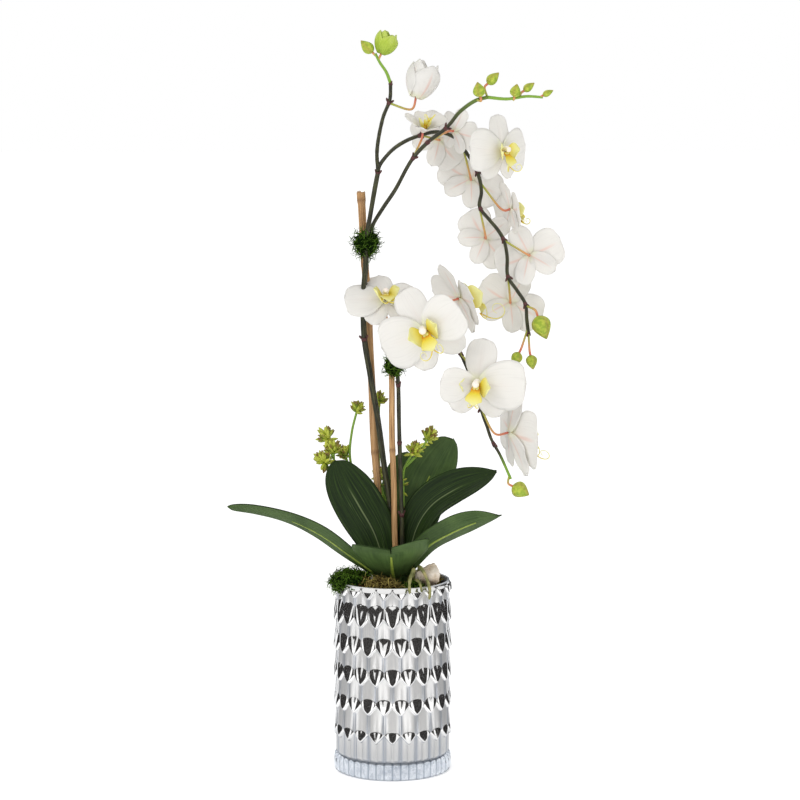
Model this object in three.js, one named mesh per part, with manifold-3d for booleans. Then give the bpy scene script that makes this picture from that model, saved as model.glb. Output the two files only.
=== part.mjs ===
// A moth orchid in a pressed-glass cylinder vase: three flower spikes tied to bamboo stakes, a ring of
// leaves, moss, a stone and a few aerial roots. Millimetres, +Z up. The origin is the centre of the
// vase's underside, and -Y is the front. The planting is placed in a group of its own, whose heights
// count from the top of the potting fill.
import * as THREE from "three";
import { mergeVertices } from "three/addons/utils/BufferGeometryUtils.js";
import Module from "manifold-3d";

const wasm = await Module();
wasm.setup();

// Clearance that is kept between any two pieces that touch.
const GAP = 0.3;

// Vase: a thick clear foot, a fluted waist and rows of overlapping pointed scales.
const VASE_RADIUS = 68.5;
const VASE_HEIGHT = 232;
const VASE_WALL = 3;
const VASE_FLOOR = 18;
const FOOT_FLARE = 2;
const FOOT_HEIGHT = 21;
const SCALES_ROUND = 22;
const SCALE_ROWS = 5;
const SCALE_PITCH = 34.7;
const LOWEST_SCALE_TIP = 44;
const SCALE_BULGE = 2.6;

// Potting fill and what lies on it.
const FILL_BELOW_RIM = 15;
const SOCKET_DEPTH = 70;
const CROWN_RADIUS = 14;
const CROWN_HEIGHT = 30;
const CROWN_CENTRE = [4, 3];
const STONE_SIZE = [12, 11, 19];

// Stakes, stems and roots.
const TALL_STAKE_RADIUS = 4.8;
const TALL_STAKE_TOP = 477;
const SHORT_STAKE_RADIUS = 3.75;
const SHORT_STAKE_TOP = 283;
const STEM_RADIUS = 2.8;
const BRANCH_RADIUS = 2.3;
const TIP_RADIUS = 1.5;
const STALK_RADIUS = 1.4;
const SPRIG_RADIUS = 1.1;
const ROOT_RADIUS = 2;
const STEM_SPACING = 0.5;

// Leaves and petals.
const LEAF_THICKNESS = 2.4;
const PETAL_THICKNESS = 2.2;

// How finely the faceted solids are cut.
const STEM_SIDES = 6;
const STEM_STEP = 22;
const STAKE_SIDES = 10;

const FILL_TOP = VASE_HEIGHT - FILL_BELOW_RIM;
const INNER_RADIUS = VASE_RADIUS - VASE_WALL;
const RIM = FILL_BELOW_RIM;

const FINISHES = {
  glass: { color: 0xc9ccd0, roughness: 0.08, metalness: 0.9 },
  fill: { color: 0x5a4632, roughness: 0.95, metalness: 0 },
  bamboo: { color: 0x8a5f35, roughness: 0.55, metalness: 0 },
  stem: { color: 0x2b2f22, roughness: 0.5, metalness: 0 },
  leaf: { color: 0x2c4a26, roughness: 0.45, metalness: 0 },
  petal: { color: 0xf7f4ee, roughness: 0.7, metalness: 0 },
  bud: { color: 0xa9bf3c, roughness: 0.6, metalness: 0 },
  greenMoss: { color: 0x1f4d17, roughness: 0.95, metalness: 0 },
  goldenMoss: { color: 0x7d6b2c, roughness: 0.95, metalness: 0 },
  stone: { color: 0xbcae98, roughness: 0.85, metalness: 0 },
  root: { color: 0x7c7a45, roughness: 0.8, metalness: 0 },
  sedum: { color: 0x7d9a2e, roughness: 0.7, metalness: 0 },
};

// ---------------------------------------------------------------- solids and meshes

// A closed three.js geometry as a solid.
function solid(geometry) {
  geometry.deleteAttribute("normal");
  geometry.deleteAttribute("uv");
  const merged = mergeVertices(geometry, 1e-4);
  const mesh = new wasm.Mesh({
    numProp: 3,
    vertProperties: merged.attributes.position.array,
    triVerts: new Uint32Array(merged.index.array),
  });
  return new wasm.Manifold(mesh);
}

const joined = (solids) => solids.reduce((sum, one) => sum.add(one));
const without = (body, cutters) => cutters.reduce((rest, cutter) => rest.subtract(cutter), body);
const vector = (point) => new THREE.Vector3(...point);

// A solid as a named three.js mesh.
function meshOf(name, body, finish) {
  const made = body.getMesh();
  const geometry = new THREE.BufferGeometry();
  geometry.setAttribute("position", new THREE.BufferAttribute(made.vertProperties, 3));
  geometry.setIndex(new THREE.BufferAttribute(made.triVerts, 1));
  geometry.computeVertexNormals();
  const mesh = new THREE.Mesh(geometry, new THREE.MeshStandardMaterial(finish));
  mesh.name = name;
  return mesh;
}

// Moves each vertex of a geometry to where the given function sends it.
function deformed(geometry, move) {
  const position = geometry.attributes.position;
  const point = new THREE.Vector3();
  for (let i = 0; i < position.count; i++) {
    point.fromBufferAttribute(position, i);
    move(point);
    position.setXYZ(i, point.x, point.y, point.z);
  }
  return geometry;
}

// A round outline with the given number of sides, for sweeping along a path.
function roundSection(radius, sides) {
  const corner = (i) => {
    const angle = (2 * Math.PI * i) / sides;
    return new THREE.Vector2(radius * Math.cos(angle), radius * Math.sin(angle));
  };
  return new THREE.Shape(Array.from({ length: sides }, (_, i) => corner(i)));
}

const smoothLine = (route) => new THREE.CatmullRomCurve3(route.map(vector), false, "centripetal");

// A round rod along a smooth curve through the route's points.
function rod(route, radius, sides = STEM_SIDES, step = STEM_STEP) {
  const curve = smoothLine(route);
  const steps = Math.max(1, Math.round(curve.getLength() / step));
  const settings = { steps, extrudePath: curve, bevelEnabled: false };
  return solid(new THREE.ExtrudeGeometry(roundSection(radius, sides), settings));
}

// An upright round plug between two heights.
function plug(radius, low, high, centre = [0, 0], sides = 24) {
  const geometry = new THREE.CylinderGeometry(radius, radius, high - low, sides);
  geometry.rotateX(Math.PI / 2);
  geometry.translate(centre[0], centre[1], (low + high) / 2);
  return solid(geometry);
}

// A lumpy mound: an ellipsoid whose surface rises and falls in a fixed pattern.
function mound(radii, centre, lumps, across = 9, up = 6) {
  const geometry = new THREE.SphereGeometry(1, across, up);
  geometry.rotateX(Math.PI / 2);
  const lump = (point) => {
    const wave = Math.sin(5.1 * point.x + 2) * Math.cos(4.3 * point.y + 1) + Math.sin(4.7 * point.z);
    point.multiplyScalar(1 + lumps * wave);
  };
  deformed(geometry, lump);
  geometry.scale(...radii);
  geometry.translate(...centre);
  return solid(geometry);
}

const grown = (radii, extra) => radii.map((radius) => radius + extra);

// ---------------------------------------------------------------- vase and fill

// Outside radius and height of each ring of the vase, from the foot to the rim; the rings of a row of
// scales carry its number and their share of the bulge. The rim cuts off the rows that reach past it.
function vaseRings() {
  const foot = VASE_RADIUS + FOOT_FLARE;
  const rings = [
    { radius: VASE_RADIUS, z: 0 },
    { radius: foot, z: 2.5 },
    { radius: foot, z: FOOT_HEIGHT },
    { radius: VASE_RADIUS, z: (FOOT_HEIGHT + LOWEST_SCALE_TIP) / 2 },
  ];
  for (let row = 0; row < SCALE_ROWS; row++) {
    const tip = LOWEST_SCALE_TIP + row * SCALE_PITCH;
    rings.push({ radius: VASE_RADIUS, z: tip + 0.12 * SCALE_PITCH, row, bulge: 1 });
    rings.push({ radius: VASE_RADIUS, z: tip + 0.85 * SCALE_PITCH, row, bulge: 0.15 });
  }
  const belowRim = rings.filter((ring) => ring.z < VASE_HEIGHT - GAP);
  belowRim.push({ radius: VASE_RADIUS, z: VASE_HEIGHT });
  return belowRim;
}

// The vase turned from its profile, with each row's bulge raised in the middle of each scale and each
// row half a scale round from the one below.
function vase() {
  const rings = vaseRings();
  const profile = [new THREE.Vector2(0, 0)];
  rings.forEach((ring) => profile.push(new THREE.Vector2(ring.radius, ring.z)));
  profile.push(new THREE.Vector2(INNER_RADIUS, VASE_HEIGHT));
  profile.push(new THREE.Vector2(INNER_RADIUS, VASE_FLOOR));
  profile.push(new THREE.Vector2(0, VASE_FLOOR));
  const geometry = new THREE.LatheGeometry(profile, 2 * SCALES_ROUND);
  const raise = (point) => {
    const radius = Math.hypot(point.x, point.z);
    const ring = rings.find((one) => one.bulge && Math.abs(one.z - point.y) < 1e-3);
    if (!ring || radius < INNER_RADIUS + VASE_WALL / 2) return;
    const round = SCALES_ROUND * Math.atan2(point.z, point.x) + ring.row * Math.PI;
    const swell = SCALE_BULGE * ring.bulge * (0.65 + 0.35 * Math.cos(round));
    point.x *= 1 + swell / radius;
    point.z *= 1 + swell / radius;
  };
  deformed(geometry, raise);
  geometry.rotateX(Math.PI / 2);
  return solid(geometry);
}

// The space that the vase's wall and rim take, counted from the top of the fill, with the gap round it.
function rimSpace() {
  const outer = VASE_RADIUS + SCALE_BULGE + GAP;
  const wall = plug(outer, -RIM, RIM + GAP, [0, 0], 2 * SCALES_ROUND);
  return wall.subtract(plug(INNER_RADIUS - GAP, -2 * RIM, 2 * RIM, [0, 0], 2 * SCALES_ROUND));
}

// ---------------------------------------------------------------- stakes and stems

// The rising stem of the forked spike, from deep in the fill to its fork.
const FORKED_RISE = [
  [7, 6, -SOCKET_DEPTH], [4, 5.5, 3], [1, 5, 56], [-3, 4.5, 104], [-10, 3.5, 146], [-18, 2, 206],
  [-26, 0.5, 254], [-34, -0.5, 305], [-35, -1.5, 350], [-32, -2, 395], [-31, -2, 421],
  [-26, -2, 451], [-21, -1, 480], [-17, 0, 501],
];
const FORKED_TOP = [[-17, 0, 501], [-18, 0, 527], [-11, 0, 565], [-3, 0, 586], [-2, 0, 605]];
const FORKED_TIP = [[-2, 0, 605], [-7, 0, 618], [-15, 0, 630], [-20, 0, 640]];
const ARCH = [
  [-17, 0, 501], [-15, 4, 509], [0, 10, 527], [15, 13, 537], [30, 16, 543], [53, 20, 548],
  [74, 25, 541], [86, 28, 526], [98, 30, 507], [104, 30, 491], [106, 30, 476], [104, 30, 459],
  [116, 30, 443], [126, 30, 431], [133, 30, 419], [137, 30, 400], [138, 30, 376], [149, 30, 359],
  [159, 30, 343], [161, 30, 323], [163, 30, 307],
];

// The budded spike runs close behind the forked one up to the tie, then swings out in front of the arch.
const BEHIND = 2 * STEM_RADIUS + STEM_SPACING;
const BUDDED_RISE = FORKED_RISE.filter(([, , z]) => z < 423).map(([x, y, z]) => [x + 1.5, y + BEHIND, z]);
const BUDDED_SWING = [
  [-23.5, 5.5, 438], [-11, 1, 459], [3, -5, 480], [23, -12, 516], [41, -15, 536], [64, -15, 554],
  [79, -18, 572], [97, -20, 585], [111, -20, 589],
];
const BUDDED_TIP = [[111, -20, 589], [134, -20, 587], [157, -20, 590], [176, -20, 589]];

// The tall stake leans to the left behind both of them, and is tied to them near its top.
const BEHIND_BOTH = BEHIND + STEM_RADIUS + TALL_STAKE_RADIUS + STEM_SPACING;
const TALL_STAKE = [[-8, 6 + BEHIND_BOTH, -SOCKET_DEPTH], [-37, -3 + BEHIND_BOTH, TALL_STAKE_TOP]];

// The low spike runs up the right side of the short stake, and bows over above it.
const SHORT_STAKE = [[5, -4, -SOCKET_DEPTH], [-1.5, -4, SHORT_STAKE_TOP]];
const RIGHT_OF_STAKE = SHORT_STAKE_RADIUS + STEM_RADIUS + STEM_SPACING;
const LOW_RISE = [
  [5.5 + RIGHT_OF_STAKE, -4, -SOCKET_DEPTH], [4.5 + RIGHT_OF_STAKE, -4, 68],
  [2.5 + RIGHT_OF_STAKE, -4, 146], [1 + RIGHT_OF_STAKE, -4, 194], [RIGHT_OF_STAKE, -4, 248],
  [RIGHT_OF_STAKE - 1, -5, 272], [14, -13, 298], [33, -10, 315], [56, -10, 315], [65, -14, 308],
  [74, -18, 297],
];
const LOW_DROOP = [
  [74, -18, 297], [82, -18, 285], [94, -10, 256], [102, -12, 234], [106, -12, 218], [112, -12, 201],
  [118, -12, 184], [128, -10, 166], [141, -10, 137],
];

// Each spike is one grown piece, given by its stretches.
const SPIKES = {
  forked: [
    { route: FORKED_RISE, radius: STEM_RADIUS },
    { route: FORKED_TOP, radius: BRANCH_RADIUS },
    { route: FORKED_TIP, radius: TIP_RADIUS },
    { route: ARCH, radius: BRANCH_RADIUS },
  ],
  budded: [
    { route: [...BUDDED_RISE, ...BUDDED_SWING], radius: STEM_RADIUS },
    { route: BUDDED_TIP, radius: TIP_RADIUS },
  ],
  low: [
    { route: LOW_RISE, radius: STEM_RADIUS },
    { route: LOW_DROOP, radius: BRANCH_RADIUS },
  ],
};

// A spike as one solid; the extra radius makes the cutter that keeps its neighbours clear.
const spike = (stretches, extra = 0) => {
  return joined(stretches.map(({ route, radius }) => rod(route, radius + extra)));
};

const stake = (route, radius) => rod(route, radius, STAKE_SIDES, 200);

// Clumps of moss that tie the stems to the stakes.
const TIES = {
  tie_upper: { radii: [20, 18, 21], centre: [-31, 5, 417] },
  tie_lower: { radii: [16, 15, 15], centre: [2, -4, 272] },
};

// ---------------------------------------------------------------- leaves

// How wide a leaf is along its length, as a share of its full width: it widens from the stalk to the
// middle and ends in a round tip.
function leafShare(along, stalk) {
  const widening = stalk + (1 - stalk) * Math.sin((Math.PI / 2) * Math.min(1, along / 0.55));
  const ending = along < 0.6 ? 1 : Math.sqrt(Math.max(0, 1 - ((along - 0.6) / 0.4) ** 2));
  return widening * ending;
}

// A strap leaf along a smooth midline. Its blade is spread across the midline, square to the direction
// that its upper side faces, and its two halves are lifted by the fold. The extra makes it a cutter.
function leaf({ route, width, face, fold, stalk = 0.3 }, extra = 0) {
  const curve = smoothLine(route);
  const upper = vector(face).normalize();
  const geometry = new THREE.SphereGeometry(1, 8, 9);
  const spread = (point) => {
    const along = 1 - Math.acos(THREE.MathUtils.clamp(point.y, -1, 1)) / Math.PI;
    const ring = Math.sqrt(Math.max(0, 1 - point.y ** 2));
    const onBlade = ring > 1e-5;
    const tangent = curve.getTangentAt(along);
    const side = new THREE.Vector3().crossVectors(tangent, upper).normalize();
    const normal = new THREE.Vector3().crossVectors(side, tangent);
    const across = onBlade ? point.x / ring : 0;
    const thick = onBlade ? point.z / ring : 0;
    const half = 0.5 * width * leafShare(along, stalk) + extra;
    const lift = fold * Math.abs(across) * half;
    point.copy(curve.getPointAt(along));
    point.addScaledVector(side, across * half);
    point.addScaledVector(normal, (0.5 * LEAF_THICKNESS + extra) * thick + lift);
  };
  return solid(deformed(geometry, spread));
}

const LEAVES = {
  leaf_long_left: {
    route: [
      [-8, -1, 12], [-51, -14, 46], [-87, -17, 72], [-123, -17, 89], [-165, -14, 100], [-196, -10, 103],
    ],
    width: 46, face: [0.05, 0.5, 0.86], fold: 0.15, stalk: 0.18,
  },
  leaf_upright_left: {
    route: [[-6, -8, 20], [-22, -8, 71], [-41, -5, 105], [-57, 0, 133], [-67, 6, 157]],
    width: 60, face: [0.2, -0.92, 0.35], fold: 0.12,
  },
  leaf_front: {
    route: [[2, -9, 12], [0, -36, 30], [-1, -60, 46], [-2, -81, 62]],
    width: 86, face: [-0.05, 0.55, 0.83], fold: 0.3, stalk: 0.15,
  },
  leaf_low_right: {
    route: [[14, -8, 20], [40, -18, 55], [68, -24, 73], [97, -25, 86], [130, -20, 95]],
    width: 46, face: [-0.2, 0.72, 0.66], fold: 0.2,
  },
  leaf_middle_right: {
    route: [[16, 0, 20], [30, -1, 76], [47, 1, 102], [75, 4, 121], [125, 6, 143]],
    width: 50, face: [-0.45, -0.72, 0.5], fold: 0.3,
  },
  leaf_upright_right: {
    route: [[15, 10, 20], [28, 22, 90], [44, 32, 133], [60, 38, 162], [72, 40, 179]],
    width: 60, face: [0.15, 0.92, 0.35], fold: 0.12,
  },
  leaf_back: {
    route: [[6, 14, 20], [8, 40, 83], [12, 56, 128], [16, 66, 159]],
    width: 50, face: [0.05, 0.85, 0.5], fold: 0.15,
  },
};

// ---------------------------------------------------------------- flowers and buds

// The turned frame of a flower that faces an azimuth from the front towards the right, and an elevation,
// and is rolled in its own plane, all in degrees.
function facingFrame(azimuth, elevation, roll) {
  const [a, e, r] = [azimuth, elevation, roll].map(THREE.MathUtils.degToRad);
  const facing = new THREE.Vector3(Math.sin(a) * Math.cos(e), -Math.cos(a) * Math.cos(e), Math.sin(e));
  const side = new THREE.Vector3(Math.cos(a), Math.sin(a), 0);
  const up = new THREE.Vector3().crossVectors(facing, side);
  const frame = new THREE.Matrix4().makeBasis(side, up, facing);
  return frame.multiply(new THREE.Matrix4().makeRotationZ(r));
}

// A flat oval in the flower's own frame, whose rim falls back from the facing side.
function petal(width, length, centre, turn, fall) {
  const geometry = new THREE.SphereGeometry(1, 8, 4);
  geometry.rotateX(Math.PI / 2);
  geometry.scale(width / 2, length / 2, PETAL_THICKNESS / 2);
  geometry.rotateZ(THREE.MathUtils.degToRad(turn));
  geometry.translate(centre[0], centre[1], 0);
  const bend = (point) => {
    point.z += centre[2] - fall * (point.x ** 2 + point.y ** 2);
  };
  return solid(deformed(geometry, bend));
}

// Two broad petals, three sepals behind them and the lip, joined at the middle. The flower faces +Z of
// its own frame, with its top sepal towards +Y. The cup is how far it is still closed, in degrees.
function bloom(width, cup) {
  const fall = 0.35 / width;
  const behind = -0.012 * width;
  const parts = [
    petal(0.32 * width, 0.44 * width, [0, 0.22 * width, behind], 0, fall),
    mound([0.08 * width, 0.09 * width, 0.12 * width], [0, -0.05 * width, 0.03 * width], 0, 6, 4),
  ];
  for (const hand of [-1, 1]) {
    const petalCentre = [hand * 0.245 * width, 0.05 * width, 0.01 * width];
    const sepalCentre = [hand * 0.14 * width, -0.17 * width, behind];
    parts.push(petal(0.51 * width, 0.52 * width, petalCentre, 0, fall));
    parts.push(petal(0.28 * width, 0.42 * width, sepalCentre, hand * 35, fall));
  }
  const lift = THREE.MathUtils.degToRad(cup);
  return joined(parts).warp((point) => {
    point[2] += Math.hypot(point[0], point[1]) * Math.sin(lift);
    point[0] *= Math.cos(lift);
    point[1] *= Math.cos(lift);
  });
}

// A stalk that leaves a stem at a node and comes in to its end along a direction.
function stalk(node, end, into, reach) {
  const bend = vector(end).addScaledVector(into, reach).toArray();
  return rod([node, bend, end], STALK_RADIUS, 5, 14);
}

// A flower on its own stalk, placed by its middle, where it faces and the node that it grows from.
function flower({ at, facing, width, node, cup = 0 }) {
  const frame = facingFrame(...facing);
  const away = new THREE.Vector3(0, 0, -1).transformDirection(frame);
  const placed = bloom(width, cup).transform(frame.clone().setPosition(...at).toArray());
  return placed.add(stalk(node, at, away, 0.13 * width));
}

// Facing is azimuth, elevation and roll in degrees.
const FLOWERS = {
  flower_low_1: { at: [-9, -12, 354], facing: [12, 48, 0], width: 94, node: [9, -9, 285] },
  flower_low_2: { at: [39, -56, 320], facing: [-10, -5, 29], width: 118, node: [28, -11, 311] },
  flower_low_3: { at: [80, 4, 352], facing: [118, 22, 0], width: 104, node: [57, -10, 315] },
  flower_low_4: { at: [101, -46, 257], facing: [-12, -8, -27], width: 114, node: [76, -18, 294] },
  flower_low_5: { at: [130, -10, 192], facing: [115, 0, 0], width: 134, node: [103, -12, 227], cup: 22 },
  flower_arch_1: { at: [36, 2, 548], facing: [20, 62, 0], width: 70, node: [22, -12, 514], cup: 45 },
  flower_arch_2: { at: [56, 53, 538], facing: [178, 0, 50], width: 74, node: [34, 17, 544] },
  flower_arch_3: { at: [73, 20, 549], facing: [135, 0, 20], width: 68, node: [41, -15, 536], cup: 25 },
  flower_arch_4: { at: [130, 20, 527], facing: [42, 0, 0], width: 92, node: [94, 29, 514] },
  flower_arch_5: { at: [94, 59, 491], facing: [180, 0, 30], width: 80, node: [84, 28, 529] },
  flower_arch_6: { at: [142, 42, 456], facing: [112, 10, 0], width: 76, node: [105, 30, 487] },
  flower_arch_7: { at: [111, 51, 421], facing: [185, 0, 55], width: 76, node: [104, 30, 457] },
  flower_arch_8: { at: [164, 42, 401], facing: [175, 0, -25], width: 84, node: [133, 30, 419] },
  flower_arch_9: { at: [142, 58, 343], facing: [180, 0, 30], width: 84, node: [138, 30, 377] },
};

// A pointed bud along a direction from its base, on a stalk of its own.
function bud({ at, towards, length, width, node }) {
  const geometry = new THREE.SphereGeometry(1, 6, 5);
  const plump = (point) => {
    const taper = 1 - 0.28 * point.y;
    point.x *= (taper * width) / 2;
    point.z *= (taper * width) / 2;
    point.y *= length / 2;
  };
  deformed(geometry, plump);
  const along = vector(towards).normalize();
  geometry.applyQuaternion(new THREE.Quaternion().setFromUnitVectors(new THREE.Vector3(0, 1, 0), along));
  geometry.translate(...at);
  const base = vector(at).addScaledVector(along, -0.3 * length).toArray();
  return solid(geometry).add(stalk(node, base, along.clone().negate(), 0.3 * length));
}

const BUDS = {
  flower_top_cup: { at: [35, 8, 609], towards: [0.35, 0, 1], length: 46, width: 38, node: [-4, 0, 582] },
  bud_top_large: { at: [-8, 0, 652], towards: [0.4, 0, 1], length: 28, width: 26, node: [-14, 0, 629] },
  bud_top_middle: { at: [-30, 0, 648], towards: [-0.7, 0, 0.7], length: 20, width: 14, node: [-19, 0, 638] },
  bud_arch_large: {
    at: [179, 24, 315], towards: [0.4, -0.1, -1], length: 30, width: 24, node: [159, 30, 341],
  },
  bud_arch_left: { at: [148, 26, 277], towards: [-0.5, 0, -1], length: 18, width: 14, node: [162, 30, 313] },
  bud_arch_right: { at: [167, 26, 273], towards: [0.2, 0, -1], length: 18, width: 14, node: [163, 30, 309] },
  bud_low_end: { at: [153, -10, 123], towards: [0.9, 0, -0.5], length: 23, width: 20, node: [139, -10, 141] },
  bud_tip_1: { at: [101, -26, 598], towards: [-0.2, 0, 1], length: 18, width: 15, node: [98, -20, 586] },
  bud_tip_2: { at: [118, -17, 611], towards: [0.7, 0, 0.7], length: 19, width: 13, node: [111, -20, 589] },
  bud_tip_3: { at: [144, -24, 597], towards: [0.2, -0.3, 1], length: 16, width: 13, node: [140, -20, 588] },
  bud_tip_4: { at: [160, -16, 601], towards: [0.8, 0.1, 0.6], length: 16, width: 10, node: [149, -20, 589] },
  bud_tip_5: { at: [182, -20, 594], towards: [1, 0, 0.5], length: 14, width: 8, node: [166, -20, 590] },
};

// ---------------------------------------------------------------- moss, stone, roots and sprigs

// Each mound's centre lies towards a direction, so far in from the vase's wall and so high above the fill.
const MOSSES = {
  moss_green_left: {
    radii: [29, 36, 17], towards: [-0.76, -0.2], inset: 14.03, height: 13,
    finish: FINISHES.greenMoss,
  },
  moss_golden: {
    radii: [34, 19, 14], towards: [-0.28, -0.6], inset: 22.13, height: 8,
    finish: FINISHES.goldenMoss,
  },
  moss_green_right: {
    radii: [17, 15, 13], towards: [0.38, -0.66], inset: 15.62, height: 8,
    finish: FINISHES.greenMoss,
  },
  moss_brown_back: {
    radii: [27, 24, 13], towards: [0.56, 0.42], inset: 19.65, height: 4,
    finish: FINISHES.goldenMoss,
  },
};

function mossCentre({ towards: [x, y], inset, height }) {
  const out = (INNER_RADIUS - inset) / Math.hypot(x, y);
  return [x * out, y * out, height];
}

const moss = (shape, extra = 0) => mound(grown(shape.radii, extra), mossCentre(shape), 0.06);

// A broken stone with flat faces, standing on the fill inside the rim.
function stone(extra = 0) {
  const geometry = new THREE.IcosahedronGeometry(1, 1);
  const chip = (point) => point.multiplyScalar(1 + 0.12 * Math.sin(7 * point.x + 3 * point.y - 4 * point.z));
  deformed(geometry, chip);
  geometry.scale(...grown(STONE_SIZE, extra));
  geometry.rotateY(0.3);
  const lean = INNER_RADIUS - STONE_SIZE[0] - GAP;
  geometry.translate(0.8 * lean, -0.52 * lean, STONE_SIZE[2] + 3);
  return solid(geometry);
}

// A point near the rim: how far it is outside the vase's widest scales, and its angle and height.
function pastRim(angle, out, height) {
  const radius = VASE_RADIUS + SCALE_BULGE + ROOT_RADIUS + out;
  const turn = THREE.MathUtils.degToRad(angle);
  return [radius * Math.cos(turn), radius * Math.sin(turn), height];
}

// Aerial roots that climb out of the crown under the front leaf and hang over the rim.
const ROOTS = {
  root_left: [
    [12, -8, 5], [23, -38, 22], pastRim(-66, -10, 36), pastRim(-71, -4, 30), pastRim(-74, 1, 20),
    pastRim(-74, 2, 9),
  ],
  root_right: [
    [17, -4, 7], [31, -30, 30], pastRim(-57, -12, 38), pastRim(-56, -5, 32), pastRim(-54, 0, 20),
    pastRim(-53, 2, 9), pastRim(-54, 2, 0),
  ],
  root_small: [pastRim(-63, -10, 23), pastRim(-63, -4, 23), pastRim(-63, 1, 19), pastRim(-62, 2, 10)],
};

// The small fleshy-leaved sprigs behind the leaves: a stem, side twigs and the clusters on their ends.
const SPRIG_FOOT = -SOCKET_DEPTH / 3;
const SPRIGS = {
  sprig_left: {
    stem: [[-30, 34, SPRIG_FOOT], [-32, 32, 45], [-44, 28, 95], [-68, 22, 139], [-71, 21, 169]],
    twigs: [[[-60, 24, 125], [-74, 18, 143], [-84, 14, 156]], [[-71, 21, 158], [-80, 28, 184]]],
    cluster: 9.5,
  },
  sprig_tall: {
    stem: [
      [-22, 40, SPRIG_FOOT], [-24, 40, 53], [-38, 34, 113], [-51, 30, 155], [-49, 28, 188], [-42, 27, 217],
    ],
    twigs: [[[-46, 32, 139], [-54, 30, 151], [-58, 32, 163]]],
    cluster: 7.5,
  },
  sprig_middle: {
    stem: [[-6, 40, SPRIG_FOOT], [-7, 40, 73], [-15, 38, 128], [-17, 37, 183], [-16, 36, 227]],
    twigs: [[[-9, 39, 103], [-15, 37, 122], [-16, 34, 137]]],
    cluster: 7,
  },
  sprig_right: {
    stem: [[14, 22, SPRIG_FOOT], [14, 20, 63], [13, 15, 113], [14, 14, 145], [27, 12, 169]],
    twigs: [[[16, 14, 149], [34, 18, 167], [44, 22, 185]]],
    cluster: 9,
  },
};

function sprig({ stem, twigs, cluster }, extra = 0) {
  const routes = [stem, ...twigs];
  const rods = routes.map((route) => rod(route, SPRIG_RADIUS + extra, 4, 40));
  const radii = grown([cluster, cluster, cluster], extra);
  const tips = routes.map((route) => mound(radii, route[route.length - 1], 0.1, 6, 4));
  return joined([...rods, ...tips]);
}

// The hub that the leaves and roots grow from, round the feet of the stems.
const crown = (extra = 0) => plug(CROWN_RADIUS + extra, GAP - extra, CROWN_HEIGHT + extra, CROWN_CENTRE, 12);

// ---------------------------------------------------------------- assembly

const orchid = new THREE.Group();
const planting = new THREE.Group();
planting.position.z = FILL_TOP;
orchid.add(planting);
const plant = (name, body, finish) => planting.add(meshOf(name, body, finish));

const fatSpikes = Object.values(SPIKES).map((stretches) => spike(stretches, GAP));
const fatStakes = [stake(TALL_STAKE, TALL_STAKE_RADIUS + GAP), stake(SHORT_STAKE, SHORT_STAKE_RADIUS + GAP)];
const uprights = [...fatSpikes, ...fatStakes];
const fatSprigs = Object.values(SPRIGS).map((shape) => sprig(shape, GAP));

orchid.add(meshOf("vase", vase(), FINISHES.glass));
const fill = plug(INNER_RADIUS - GAP, VASE_FLOOR + GAP - FILL_TOP, 0);
plant("potting_fill", without(fill, [...uprights, ...fatSprigs]), FINISHES.fill);
plant("stake_tall", stake(TALL_STAKE, TALL_STAKE_RADIUS), FINISHES.bamboo);
plant("stake_short", stake(SHORT_STAKE, SHORT_STAKE_RADIUS), FINISHES.bamboo);
for (const [name, stretches] of Object.entries(SPIKES)) {
  plant("spike_" + name, spike(stretches), FINISHES.stem);
}
for (const [name, { radii, centre }] of Object.entries(TIES)) {
  plant(name, without(mound(radii, centre, 0.05), uprights), FINISHES.greenMoss);
}
plant("crown", without(crown(), [...uprights, ...fatSprigs]), FINISHES.leaf);
const aroundLeaves = [crown(GAP), ...uprights, ...fatSprigs];
for (const [name, shape] of Object.entries(LEAVES)) {
  plant(name, without(leaf(shape), aroundLeaves), FINISHES.leaf);
  aroundLeaves.push(leaf(shape, GAP));
}
for (const [name, route] of Object.entries(ROOTS)) {
  const kept = without(rod(route, ROOT_RADIUS, STEM_SIDES, 10), [crown(GAP), ...uprights]);
  plant(name, kept, FINISHES.root);
}
for (const [name, shape] of Object.entries(SPRIGS)) {
  plant(name, sprig(shape), FINISHES.sedum);
}
plant("stone", stone(), FINISHES.stone);

const fatRoots = Object.values(ROOTS).map((route) => rod(route, ROOT_RADIUS + GAP, STEM_SIDES, 10));
const fatFill = plug(INNER_RADIUS, -RIM, GAP);
const bedded = [rimSpace(), fatFill, stone(GAP), ...aroundLeaves, ...fatRoots];
for (const [name, shape] of Object.entries(MOSSES)) {
  plant(name, without(moss(shape), bedded), shape.finish);
  bedded.push(moss(shape, GAP));
}
for (const [name, shape] of Object.entries(FLOWERS)) {
  plant(name, without(flower(shape), uprights), FINISHES.petal);
}
for (const [name, shape] of Object.entries(BUDS)) {
  plant(name, without(bud(shape), fatSpikes), FINISHES.bud);
}

export default orchid;
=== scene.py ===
"""Looks of a moth orchid in a silvered pressed-glass vase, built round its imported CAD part.

Every piece is in metres in the part's own frame. Sizes of small things are written in millimetres and
turned into metres when a mesh is made. Heights of the plant count from the top of the potting fill.
"""
import logging
import math
from dataclasses import dataclass, field, replace
from enum import Enum
from typing import Callable, Iterable, Optional, Sequence

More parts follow.
